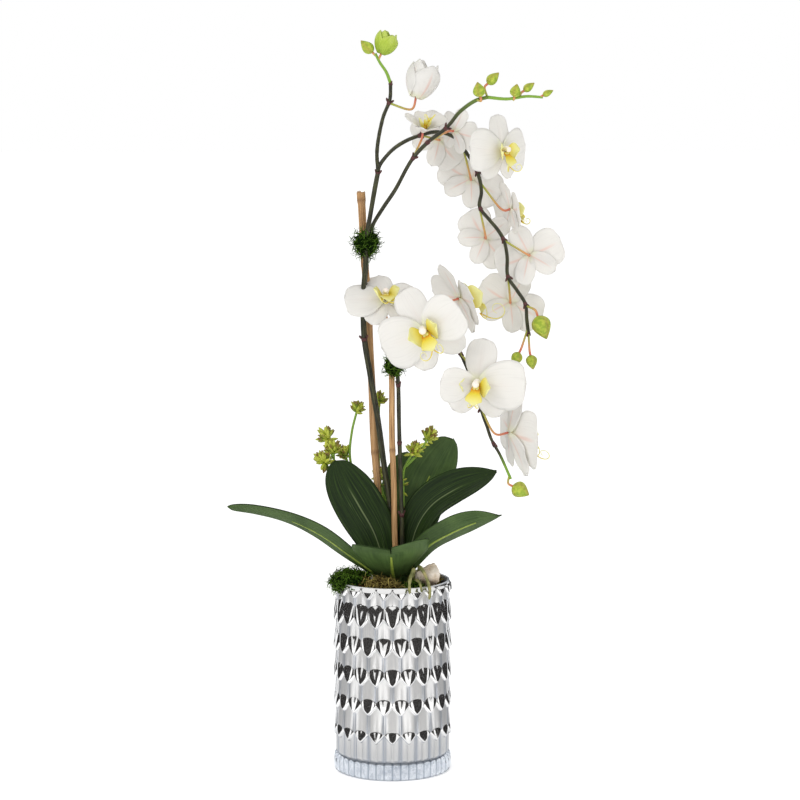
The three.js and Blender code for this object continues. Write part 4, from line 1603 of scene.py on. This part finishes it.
def curl(start: Array, heading: Array, towards: Array, length: float, turns: float, steps: int = 22) -> Array:
    """A tendril that winds up ever tighter.

    Args:
        start: where it grows from.
        heading: the way it sets off.
        towards: the side that it winds to.
        length: how long it is.
        turns: how often it goes round.
        steps: how many points it has.

    Returns:
        Its points.
    """
    share = np.linspace(0, 1, steps)
    angle = 2 * math.pi * turns * share ** 1.8
    heading = unit(heading)
    towards = unit(towards - heading * np.dot(heading, towards))
    walk = np.cos(angle)[:, None] * heading + np.sin(angle)[:, None] * towards
    return start + np.cumsum(np.vstack([np.zeros(3), walk[:-1]]), axis=0) * length / steps


@dataclass
class Bloom:
    """An open flower on its own stalk."""

    node: str
    at: Point
    facing: tuple[float, float, float]
    width: float
    stem: Point
    cup: float = 0.0
    tendril: float = 0.13
    lip_share: float = 1.28
    folds: tuple[tuple[str, float], ...] = ()
    cloth: float = 0.6
    seed: int = 1

    def lip(self, surface: Surface, place: Callable[[Array], Array], rng: np.random.Generator) -> None:
        """Adds the lip, its two side lobes, the tendrils on its tip, and the column above it.

        Args:
            surface: what they are added to.
            place: moves points from the flower's own frame to the part's.
            rng: where their small differences come from.
        """
        size = self.width * self.lip_share
        along = np.linspace(0, 1, 12)[:, None]
        across = np.linspace(-1, 1, 11)[None, :]
        for hand in (-1, 1):
            swell = np.sin(math.pi * np.clip(along, 0.06, 0.97)) ** 0.6
            bend = 0.45 * hand * across
            out = 0.018 + 0.155 * along * (1 - 0.28 * along)
            x = hand * size * (out - 0.030 * (across ** 2) * along)
            y = size * (-0.035 + 0.088 * swell * across + 0.035 * along)
            z = size * (0.030 + 0.095 * along + 0.014 * bend)
            grid = np.stack(np.broadcast_arrays(x, y, z), -1)
            grid = grid[:, ::-1] if hand > 0 else grid
            surface.sheet(place(grid), 0.5, paint=1, chance=0.75 + 0.2 * rng.random())
        shape = np.interp(along, [0, 0.25, 0.5, 0.72, 0.85, 1.0], [0.5, 0.55, 0.95, 1.0, 0.5, 0.16])
        x = size * 0.072 * shape * across
        y = size * (-0.035 - 0.135 * along ** 1.1)
        z = size * (0.045 + 0.075 * np.sin(2.0 * along) + 0.018 * across ** 2 * shape)
        grid = np.stack(np.broadcast_arrays(x, y, z), -1)
        surface.sheet(place(grid), 0.7, paint=1, chance=0.45)
        for hand in (-1, 1):
            knob = size * np.array([hand * 0.012, -0.035, 0.062])
            surface.ball(place(knob), size * np.array([0.014, 0.017, 0.022]), facing_frame(*self.facing),
                         paint=1, chance=0.02, lumps=lambda p: 1 + 0.2 * p[:, 0] ** 2)
            tip = size * np.array([hand * 0.008, -0.168, 0.108])
            way = np.array([hand * 0.5, -0.75, 0.35 + 0.2 * rng.random()])
            thread = curl(tip, way, np.array([hand * 0.6, 0.7, 0.5]), size * self.tendril * 2.2, 1.1)
            surface.tube(place(thread), np.linspace(0.75, 0.35, len(thread)), 6, paint=1, chance=0.9)
        spine = size * np.array([[0, 0.0, 0.0], [0, 0.012, 0.035], [0, 0.016, 0.065], [0, 0.006, 0.092]])
        surface.tube(place(smooth_line(spine, size * 0.012)), size * 0.026, 12, paint=2)
        surface.ball(place(size * np.array([0, 0.004, 0.094])), size * np.array([0.030, 0.030, 0.026]),
                     facing_frame(*self.facing), paint=2)

    def build(self) -> list[Thing]:
        """Builds the petals, the lip, the column and the stalk as one piece.

        Returns:
            The one piece, in a list.
        """
        rng = np.random.default_rng(self.seed)
        turn = facing_frame(*self.facing)
        centre = planted([self.at])[0]

        def place(points: Array) -> Array:
            """Moves points from the flower's own frame to the part's."""
            return closed_by(points, self.cup) @ turn.T + centre

        surface = Surface()
        for kind in PetalKind:
            grid = closed_by(petal_grid(kind.value, self.width, rng), dict(self.folds).get(kind.name, 0.0))
            surface.sheet(place(grid), self.cloth, chance=rng.random())
        self.lip(surface, place, rng)
        away = -turn[:, 2]
        root = planted([self.stem])[0]
        route = np.array([root, centre + away * 0.13 * self.width, centre + away * 0.012 * self.width])
        line = smooth_line(route, 2.0)
        radii = np.linspace(STALK_RADIUS, STALK_RADIUS * 1.1, len(line))
        surface.tube(line, radii, 10, paint=3, chance=rng.random())
        name = self.node.replace("flower_", "") + "_bloom"
        piece = surface.made(name, [PetalCloth(), LipCloth(), ColumnSkin(), Pedicel()])
        return [settle(piece, "petal", self.node)]


BLOOMS = (
    Bloom("flower_low_1", (-9, -12, 354), (12, 48, 0), 94, (9, -9, 285)),
    Bloom("flower_low_2", (38, -56, 320), (-10, -5, 29), 116, (28, -11, 311), folds=(("RIGHT", 26.0),)),
    Bloom("flower_low_3", (80, 4, 352), (114, 22, 0), 104, (57, -10, 315), tendril=0.2, lip_share=1.6),
    Bloom("flower_low_4", (100, -46, 257), (-12, -8, -6), 112, (76, -18, 294), tendril=0.05,
          folds=(("LEFT", 46.0), ("TOP", -6.0))),
    Bloom("flower_low_5", (139, -12, 193), (108, 4, 6), 134, (103, -12, 227), cup=20),
    Bloom("flower_arch_1", (36, 2, 548), (20, 62, 0), 70, (22, -12, 514), cup=45),
    Bloom("flower_arch_2", (56, 53, 538), (178, 0, 50), 74, (34, 17, 544)),
    Bloom("flower_arch_3", (73, 20, 549), (135, 0, 20), 68, (41, -15, 536), cup=25),
    Bloom("flower_arch_4", (130, 20, 527), (42, 0, 0), 92, (94, 29, 514)),
    Bloom("flower_arch_5", (94, 59, 491), (180, 0, 30), 80, (84, 28, 529)),
    Bloom("flower_arch_6", (142, 42, 456), (112, 10, 0), 76, (105, 30, 487)),
    Bloom("flower_arch_7", (111, 51, 421), (185, 0, 55), 76, (104, 30, 457)),
    Bloom("flower_arch_8", (164, 42, 401), (175, 0, -25), 84, (133, 30, 419), tendril=0.2),
    Bloom("flower_arch_9", (142, 58, 343), (180, 0, 30), 84, (138, 30, 377)),
)


@dataclass
class Bud:
    """A closed pointed bud with three seams, on its own stalk."""

    node: str
    at: Point
    towards: Point
    length: float
    width: float
    stem: Point
    ridge: float = 0.10
    seed: int = 1

    def build(self) -> list[Thing]:
        """Builds the bud and its stalk as one piece.

        Returns:
            The one piece, in a list.
        """
        rng = np.random.default_rng(self.seed)
        along = unit(np.array(self.towards, float))
        centre = planted([self.at])[0]
        turn = frame_along(along, (0.2, -1.0, 0.3))
        rings, sides = 26, 36
        share = np.linspace(0.012, 0.988, rings)
        profile = np.sin(math.pi * share ** 0.80) ** 0.72 * (1 - 0.38 * share ** 2)
        profile = profile / profile.max()
        round_it = 2 * math.pi * np.arange(sides) / sides
        seam = np.abs(np.cos(1.5 * round_it)) ** 0.7
        swell = 1 - self.ridge * (1 - seam)[None, :] * np.sin(math.pi * share)[:, None]
        radii = 0.5 * self.width * profile[:, None] * swell
        height = (share - 0.5) * self.length
        grid = np.stack([radii * np.cos(round_it), radii * np.sin(round_it),
                         np.repeat(height[:, None], sides, 1)], -1)
        tags = np.zeros((rings, sides, 4))
        tags[..., 0] = share[:, None]
        tags[..., 1] = (round_it / (2 * math.pi))[None, :]
        tags[..., 2] = (1 - seam)[None, :]
        tags[..., 3] = rng.random()
        ends = np.array([[0, 0, -0.5 * self.length], [0, 0, 0.5 * self.length]])
        end_tags = np.array([[0, 0, 0, 0.5], [1, 0, 0, 0.5]])
        surface = Surface()
        surface.capped(centre + grid @ turn.T, tags, centre + ends @ turn.T, end_tags)
        base = centre - 0.44 * self.length * along
        root = planted([self.stem])[0]
        route = np.array([root, base - 0.3 * self.length * along, base])
        line = smooth_line(route, 1.5)
        surface.tube(line, np.linspace(STALK_RADIUS, STALK_RADIUS * 1.2, len(line)), 10, paint=1,
                     chance=rng.random())
        piece = surface.made(self.node + "_green", [BudSkin(), Pedicel()])
        return [settle(piece, "bud", self.node)]


@dataclass
class CuppedBloom:
    """A flower that is only half open: petals wrapped round one another in a cup."""

    node: str
    at: Point
    towards: Point
    length: float
    width: float
    stem: Point
    petals: int = 6
    green: bool = False
    seed: int = 8

    def build(self) -> list[Thing]:
        """Builds the wrapped petals and the stalk as one piece.

        Returns:
            The one piece, in a list.
        """
        rng = np.random.default_rng(self.seed)
        along = unit(np.array(self.towards, float))
        centre = planted([self.at])[0]
        turn = frame_along(along, (0.0, -1.0, 0.2))
        base = centre - 0.48 * self.length * along
        surface = Surface()
        rows, columns = 18, 15
        up = np.linspace(0.0, 1.0, rows)[:, None]
        across = np.linspace(-1, 1, columns)[None, :]
        for i in range(self.petals):
            inner = i >= self.petals // 2
            heading = 2 * math.pi * (i % 3) / 3 + (math.pi / 3 if inner else 0.0) + rng.uniform(-0.2, 0.2)
            outline = np.sin(math.pi * np.clip(up, 0.03, 0.985) ** 0.85) ** 0.55
            around = heading + across * outline * (1.15 if inner else 1.25)
            belly = 0.5 * self.width * (0.84 if inner else 1.0) * np.sin(math.pi * (0.08 + 0.66 * up)) ** 0.75
            radius = belly * (1 + 0.03 * across * (1 if i % 2 else -1))
            radius = radius + 0.05 * self.width * up ** 3 * rng.uniform(-0.5, 1.0)
            tall = self.length * (0.97 if inner else rng.uniform(0.86, 0.95))
            height = up * tall - 0.05 * self.length * across ** 2 * up
            x, y, z = np.broadcast_arrays(radius * np.cos(around), radius * np.sin(around), height)
            grid = np.stack([x, y, z], -1)
            surface.sheet((base + grid @ turn.T)[:, ::-1], 0.7, chance=rng.random())
        core = np.full(3, 0.30 * self.width)
        surface.ball(base + along * 0.42 * self.length, core, turn, chance=rng.random())
        root = planted([self.stem])[0]
        line = smooth_line(np.array([root, base - 0.3 * self.length * along, base + along * 1.5]), 1.5)
        surface.tube(line, STALK_RADIUS * 1.1, 10, paint=1)
        skin = GreenPetalCloth() if self.green else PetalCloth()
        piece = surface.made(self.node + "_wrapped", [skin, Pedicel()])
        return [settle(piece, "bud" if self.green else "petal", self.node)]


BUDS = (
    CuppedBloom("flower_top_cup", (35, 8, 609), (0.35, 0, 1), 46, 38, (-4, 0, 582)),
    CuppedBloom("bud_top_large", (-8, 0, 652), (0.4, 0, 1), 28, 26, (-14, 0, 629), green=True, seed=4),
    Bud("bud_top_middle", (-30, 0, 648), (-0.7, 0, 0.7), 20, 14, (-19, 0, 638)),
    Bud("bud_arch_large", (179, 24, 315), (0.4, -0.1, -1), 30, 24, (159, 30, 341), ridge=0.2),
    Bud("bud_arch_left", (148, 26, 277), (-0.5, 0, -1), 18, 14, (162, 30, 313)),
    Bud("bud_arch_right", (167, 26, 273), (0.2, 0, -1), 18, 14, (163, 30, 309)),
    Bud("bud_low_end", (153, -10, 123), (0.9, 0, -0.5), 23, 20, (139, -10, 141)),
    Bud("bud_tip_1", (101, -26, 598), (-0.2, 0, 1), 18, 15, (98, -20, 586)),
    Bud("bud_tip_2", (118, -17, 611), (0.7, 0, 0.7), 19, 13, (111, -20, 589)),
    Bud("bud_tip_3", (144, -24, 597), (0.2, -0.3, 1), 16, 13, (140, -20, 588)),
    Bud("bud_tip_4", (160, -16, 601), (0.8, 0.1, 0.6), 16, 10, (149, -20, 589)),
    Bud("bud_tip_5", (182, -20, 594), (1, 0, 0.5), 14, 8, (166, -20, 590)),
)


# ------------------------ moss, stone, roots and sprigs

@dataclass
class Moss:
    """A cushion of fine curly fibres on a lumpy core that follows its CAD node."""

    name: str
    node: str
    kind: MossKind
    slot: str
    fibres: int
    length: tuple[float, float] = (4.0, 9.0)
    thick: float = 0.30
    lift: float = 2.0
    sunk: float = 3.0
    wander: float = 1.3
    steps: int = 10
    jitter: float = 0.45
    seed: int = 1

    def shell(self) -> tuple[Array, Array, Array]:
        """Finds the node's faces.

        Returns:
            The corners of its triangles in millimetres, their outward directions and their areas.
        """
        held = bpy.data.objects[self.node]
        mesh = held.data
        mesh.calc_loop_triangles()
        places = np.array([held.matrix_world @ vertex.co for vertex in mesh.vertices]) / MM
        corners = places[np.array([triangle.vertices[:] for triangle in mesh.loop_triangles])]
        cross = np.cross(corners[:, 1] - corners[:, 0], corners[:, 2] - corners[:, 0])
        area = 0.5 * np.linalg.norm(cross, axis=1)
        return corners, unit(cross), area

    def build(self) -> list[Thing]:
        """Builds the core and strews the fibres over it.

        Returns:
            The one piece, in a list.
        """
        rng = np.random.default_rng(self.seed)
        corners, outward, area = self.shell()
        surface = Surface()
        middle = corners.reshape(-1, 3).mean(0)
        reach = np.linalg.norm(corners - middle, axis=2, keepdims=True)
        inset = corners - (corners - middle) / np.maximum(reach, 1.0) * (self.sunk + 0.6)
        count = len(corners)
        tags = np.zeros((count * 3, 4))
        # the core's low chance gives it the fibres' darkest colour: painted shade under the fibres
        tags[:, 3] = 0.1
        surface.add(inset.reshape(-1, 3), tags, [(np.arange(count * 3).reshape(-1, 3), 0)])
        picks = rng.choice(count, self.fibres, p=area / area.sum())
        mix = rng.dirichlet((1, 1, 1), self.fibres)
        roots = np.einsum("ij,ijk->ik", mix, corners[picks])
        for root, normal in zip(roots, outward[picks]):
            size = rng.uniform(*self.length)
            way = unit(rng.standard_normal(3))
            flat = unit(way - normal * np.dot(way, normal))
            heading = unit(flat * 0.8 + normal * rng.uniform(0.2, 1.4))
            bend = rng.standard_normal(3) * self.wander
            drift = rng.standard_normal((self.steps, 3)) * self.jitter
            walk = [root + (middle - root) / np.linalg.norm(middle - root) * self.sunk]
            for i in range(self.steps - 1):
                heading = unit(heading + (bend - normal * 0.3) * (i / self.steps) * 0.7 + drift[i])
                walk.append(walk[-1] + heading * size / (self.steps - 1))
            line = np.array(walk)
            over = np.maximum((line - root) @ normal - self.lift, 0.0)
            line = line - over[:, None] * normal
            thick = self.thick * rng.uniform(0.6, 1.3)
            surface.tube(line, np.linspace(thick, thick * 0.35, self.steps), 3, chance=rng.random())
        piece = surface.made(self.name, [MossFibre(self.kind)])
        return [settle(piece, self.slot, self.node)]


MOSSES = (
    Moss("upper_moss_tie", "tie_upper", MossKind.GREEN, "green_moss", 520, (8, 17), 0.58, 3.4, 5.5, 2.6,
         seed=31),
    Moss("lower_moss_tie", "tie_lower", MossKind.GREEN, "green_moss", 360, (7, 14), 0.58, 2.8, 4.5, 2.6,
         seed=32),
    Moss("green_moss_over_the_rim", "moss_green_left", MossKind.GREEN, "green_moss", 1150, (7, 15), 0.56,
         4.0, 5.0, 2.8, seed=33),
    Moss("golden_moss_front", "moss_golden", MossKind.GOLDEN, "golden_moss", 520, (11, 24), 0.66, 3.5, 4.5,
         2.9, seed=34),
    Moss("green_moss_front", "moss_green_right", MossKind.GREEN, "green_moss", 480, (5, 11), 0.55, 3.0, 3.5,
         2.5, seed=35),
    Moss("golden_moss_back", "moss_brown_back", MossKind.GOLDEN, "golden_moss", 420, (10, 20), 0.66, 3.0, 4.5,
         2.9, seed=36),
)


@dataclass
class Stone:
    """The broken stone that stands among the moss."""

    facets: int = 15
    swell: float = 1.12
    seed: int = 9

    def build(self) -> list[Thing]:
        """Cuts a rounded block back to flat broken faces, inside its node's box.

        Returns:
            The one piece, in a list.
        """
        low, high = (np.array(corner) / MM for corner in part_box("stone"))
        centre, reach = (low + high) / 2, (high - low) / 2
        rng = np.random.default_rng(self.seed)
        faces = unit(rng.standard_normal((self.facets, 3)))
        depths = rng.uniform(0.58, 0.90, self.facets)

        def broken(points: Array) -> Array:
            """Cuts the block back.

            Args:
                points: directions from its middle.

            Returns:
                How far out it reaches along each of them, as a share of its radii.
            """
            cut = depths[None, :] / np.maximum(points @ faces.T, 0.05)
            rough = 1 + 0.035 * np.sin(15 * points[:, 0] + 9 * points[:, 2]) * np.cos(12 * points[:, 1])
            rough = rough + 0.02 * np.sin(31 * points[:, 2] + 11 * points[:, 1])
            narrow = 1 - 0.30 * np.maximum(points[:, 2], 0) ** 2 * (points[:, 0] ** 2 + points[:, 1] ** 2)
            return np.minimum(cut.min(1), 1.0) * rough * narrow

        surface = Surface()
        surface.ball(centre, reach * self.swell, np.eye(3), lumps=broken, sides=90, rings=60)
        return [settle(surface.made("broken_stone_block", [BrokenStone()]), "stone", "stone")]


RIM_GAP = 0.6


def past_rim(angle: float, out: float, height: float) -> Point:
    """Places a point near the rim.

    Args:
        angle: degrees round the vase, from the right.
        out: how far it is outside the widest scales.
        height: how far it is above the fill.

    Returns:
        The point, counted from the top of the fill.
    """
    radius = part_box("vase")[1].y / MM + RIM_GAP + out
    turn = math.radians(angle)
    return (radius * math.cos(turn), radius * math.sin(turn), height)


@dataclass
class AerialRoot:
    """A root that climbs out of the crown and hangs over the rim."""

    node: str
    route: tuple[Point, ...]
    radius: float = 2.35
    seed: int = 1

    def build(self) -> list[Thing]:
        """Builds a knobbly root with a rounded tip.

        Returns:
            The one piece, in a list.
        """
        rng = np.random.default_rng(self.seed)
        line = smooth_line(planted(self.route), 0.8)
        share = shares(line)
        phase = rng.uniform(0, 6, 3)
        wobble = 1 + 0.10 * np.sin(share * 34 + phase[0]) + 0.07 * np.sin(share * 71 + phase[1])
        tip = np.sqrt(np.clip((1 - share) / 0.04, 0.02, 1))
        surface = Surface()
        surface.tube(line, self.radius * wobble * tip * (1 - 0.25 * share), 14, chance=rng.random())
        piece = surface.made("aerial_" + self.node, [RootSkin()])
        return [settle(piece, "root", self.node)]


ROOTS = (
    AerialRoot("root_left", ((12, -8, 5), (23, -38, 22), past_rim(-66, -10, 36), past_rim(-71, -4, 30),
                             past_rim(-74, 1, 20), past_rim(-74, 2, 9)), seed=41),
    AerialRoot("root_right", ((17, -4, 7), (31, -30, 30), past_rim(-57, -12, 38), past_rim(-56, -5, 32),
                              past_rim(-54, 0, 20), past_rim(-53, 2, 9), past_rim(-54, 2, 0)), seed=42),
    AerialRoot("root_small", (past_rim(-63, -10, 23), past_rim(-63, -4, 23), past_rim(-63, 1, 19),
                              past_rim(-62, 2, 10)), 1.7, seed=43),
)


@dataclass
class Sprig:
    """A twig of stonecrop: thin stems with clusters of fleshy leaflets on their ends."""

    node: str
    stem: tuple[Point, ...]
    twigs: tuple[tuple[Point, ...], ...]
    cluster: float
    leaflets: int = 42
    low_leaflets: int = 5
    bare_height: float = 70.0
    twig_radii: tuple[float, float] = (1.9, 1.4)
    seed: int = 1

    def leaflet(self, surface: Surface, root: Array, heading: Array, size: float, chance: float) -> None:
        """Adds one plump leaflet.

        Args:
            surface: what it is added to.
            root: where it grows from.
            heading: the way it points.
            size: how long it is.
            chance: its own random share.
        """
        line = root + np.linspace(0, 1, 6)[:, None] * heading * size
        plump = np.array([0.40, 0.85, 1.0, 0.95, 0.7, 0.25]) * size * 0.17
        surface.tube(line, plump, 7, paint=1, chance=chance)

    def build(self) -> list[Thing]:
        """Builds the twigs and their leaflets as one piece.

        Returns:
            The one piece, in a list.
        """
        rng = np.random.default_rng(self.seed)
        surface = Surface()
        for route in (self.stem, *self.twigs):
            line = smooth_line(planted(route), 2.0)
            surface.tube(line, np.linspace(*self.twig_radii, len(line)), 8, back=0.9)
            end, way = line[-1], unit(line[-1] - line[-4])
            for i in range(self.leaflets):
                down = i / self.leaflets
                heading = unit(unit(rng.standard_normal(3)) * (0.5 + 0.6 * down) + way * (0.9 - 0.35 * down))
                root = end - way * 0.45 * down * self.cluster
                self.leaflet(surface, root, heading, self.cluster * rng.uniform(0.8, 1.05), rng.random())
            for _ in range(self.low_leaflets):
                at = int(rng.uniform(0.55, 0.9) * (len(line) - 1))
                if line[at][2] > FILL_TOP + self.bare_height:
                    heading = unit(rng.standard_normal(3) * np.array([1, 1, 0.4]) + way * 0.5)
                    self.leaflet(surface, line[at], heading, self.cluster * 0.55, rng.random())
        piece = surface.made("stonecrop_" + self.node, [StemSkin(), SedumSkin()])
        return [settle(piece, "sedum", self.node)]


SPRIG_FOOT = -SOCKET_DEPTH / 3
SPRIGS = (
    Sprig("sprig_left", ((-30, 34, SPRIG_FOOT), (-32, 32, 45), (-44, 28, 95), (-68, 22, 139), (-71, 21, 169)),
          (((-60, 24, 125), (-74, 18, 143), (-84, 14, 156)), ((-71, 21, 158), (-80, 28, 184))), 14.0,
          seed=51),
    Sprig("sprig_tall", ((-22, 40, SPRIG_FOOT), (-24, 40, 53), (-38, 34, 113), (-51, 30, 155), (-49, 28, 188),
                         (-42, 27, 217)), (((-46, 32, 139), (-54, 30, 151), (-58, 32, 163)),), 12.0, seed=52),
    Sprig("sprig_middle", ((-6, 40, SPRIG_FOOT), (-7, 40, 73), (-15, 38, 128), (-17, 37, 183),
                           (-16, 36, 227)),
          (((-9, 39, 103), (-15, 37, 122), (-16, 34, 137)),), 11.5, seed=53),
    Sprig("sprig_right", ((14, 22, SPRIG_FOOT), (14, 20, 63), (13, 15, 113), (14, 14, 145), (27, 12, 169)),
          (((16, 14, 149), (34, 18, 167), (44, 22, 185)),), 13.5, seed=54),
)


# ------------------------ studio

@dataclass
class Studio:
    """A bright white studio with dark cards that show only in the mirror glass."""

    camera_place: Point = (0.009, -3.2, 0.82)
    look_down: float = 6.64
    lens: float = 121.7
    ambient: float = 0.70
    floor_glow: float = 0.50
    wall_radius: float = 3.45
    dark_height: float = 1.15
    dark_from: float = 0.26
    gaps_below: float = 0.58
    dark_arcs: tuple[tuple[float, float], ...] = ((-68, -30), (-12, 14), (34, 72), (88, 140), (-135, -84),
                                                  (155, 208))
    key_power: float = 38.0
    fill_power: float = 10.0

    def flat(self, name: str, tint: Colour, glow: float = 0.0) -> bpy.types.Material:
        """Makes a dull material with very faint clouds in it.

        Args:
            name: its name.
            tint: its colour.
            glow: how much light it gives.

        Returns:
            The material.
        """
        recipe = Recipe(name)
        cloud = recipe.noise(3.0, 2.0)
        near = tuple(0.97 * part for part in tint)
        recipe.colour(recipe.ramp(cloud, (0.3, near), (0.7, tint)))
        recipe.set(Roughness=0.9, Specular_IOR_Level=0.0, Emission_Color=(1.0, 1.0, 1.0, 1.0),
                   Emission_Strength=glow)
        return recipe.material

    def board(self, name: str, corners: Sequence[Point], material: bpy.types.Material) -> Thing:
        """A staged flat or curved board.

        Args:
            name: its name.
            corners: pairs of points, low and high, from one end to the other.
            material: what it wears.

        Returns:
            The board.
        """
        mesh = bpy.data.meshes.new(name)
        count = len(corners) // 2
        faces = [(2 * i, 2 * i + 2, 2 * i + 3, 2 * i + 1) for i in range(count - 1)]
        mesh.from_pydata([tuple(corner) for corner in corners], [], faces)
        mesh.materials.append(material)
        made = bpy.data.objects.new(name, mesh)
        bpy.context.scene.collection.objects.link(made)
        return made

    def seen_in_mirrors_only(self, made: Thing) -> None:
        """Keeps a card out of the view and out of the light.

        Args:
            made: the card.
        """
        made.visible_camera = False
        made.visible_diffuse = False
        made.visible_shadow = False
        made.visible_transmission = False

    def light(self, name: str, place: Point, size: float, power: float) -> None:
        """Adds an area light that looks at the plant and doesn't show in the glass.

        Args:
            name: its name.
            place: where it stands.
            size: how wide it is.
            power: how strong it is, in watts.
        """
        data = bpy.data.lights.new(name, "AREA")
        data.size = size
        data.energy = power
        made = bpy.data.objects.new(name, data)
        made.location = place
        made.rotation_euler = (Vector((0, 0, 0.45)) - Vector(place)).to_track_quat("-Z", "Y").to_euler()
        made.visible_glossy = False
        bpy.context.scene.collection.objects.link(made)

    def sky(self) -> None:
        """A white surround that lights the plant more softly than it shows."""
        world = bpy.data.worlds.new("white_surround")
        world.use_nodes = True
        tree = world.node_tree
        background = tree.nodes["Background"]
        background.inputs["Color"].default_value = (1.0, 1.0, 1.0, 1.0)
        rays = tree.nodes.new("ShaderNodeLightPath")
        strength = tree.nodes.new("ShaderNodeMix")
        strength.inputs[2].default_value = 1.0
        strength.inputs[3].default_value = self.ambient
        tree.links.new(rays.outputs["Is Diffuse Ray"], strength.inputs[0])
        tree.links.new(strength.outputs[0], background.inputs["Strength"])
        bpy.context.scene.world = world
        bpy.context.scene.view_settings.view_transform = "Standard"

    def build(self) -> None:
        """Sets out the floor, the cards, the lights and the camera."""
        pale = self.flat("studio_floor", (0.93, 0.93, 0.93), self.floor_glow)
        dark = self.flat("dark_card", (0.020, 0.018, 0.017))
        self.board("studio_floor_board", [(-30, -12, 0), (-30, 30, 0), (30, -12, 0), (30, 30, 0)], pale)
        for i, (low, high) in enumerate(self.dark_arcs):
            wall, fan = [], []
            for angle in np.radians(np.linspace(low, high, 9)):
                x, y = math.sin(angle), -math.cos(angle)
                wall += [(self.wall_radius * x, self.wall_radius * y, height)
                         for height in (0.002, self.gaps_below)]
                fan += [(out * x, out * y, 0.001) for out in (self.dark_from, self.wall_radius - 0.01)]
            self.seen_in_mirrors_only(self.board(f"dark_wall_card_{i}", wall, dark))
            self.seen_in_mirrors_only(self.board(f"dark_floor_card_{i}", fan, dark))
        out = self.wall_radius + 0.01
        ring = [(out * math.sin(angle), -out * math.cos(angle), height)
                for angle in np.linspace(0, 2 * math.pi, 49)
                for height in (self.gaps_below, self.dark_height)]
        self.seen_in_mirrors_only(self.board("dark_wall_ring", ring, dark))
        self.light("key_light", (-1.7, -2.3, 2.4), 1.6, self.key_power)
        self.light("fill_light", (2.2, -1.6, 1.2), 1.8, self.fill_power)
        self.sky()
        data = bpy.data.cameras.new("studio_camera")
        data.lens = self.lens
        data.sensor_width = 36.0
        data.clip_end = 60.0
        camera = bpy.data.objects.new("studio_camera", data)
        camera.location = self.camera_place
        camera.rotation_euler = (math.radians(90 - self.look_down), 0.0, 0.0)
        bpy.context.scene.collection.objects.link(camera)
        bpy.context.scene.camera = camera


# ------------------------ the whole orchid


def main() -> None:
    """Builds every piece in order, then the studio."""
    logging.basicConfig(level=logging.INFO, format="%(name)s: %(message)s")
    blooms = [replace(bloom, seed=100 + i) for i, bloom in enumerate(BLOOMS)]
    buds = [replace(bud, seed=200 + i) for i, bud in enumerate(BUDS)]
    builders = [Vase(), PottingFill(), *STAKES, *SPIKES, *MOSSES, Crown(), *LEAVES, *ROOTS, *SPRIGS, Stone(),
                *blooms, *buds]
    for builder in builders:
        for piece in builder.build():
            LOG.info("%s built %s", type(builder).__name__, piece.name)
    Studio().build()


if __name__ == "__main__":
    main()
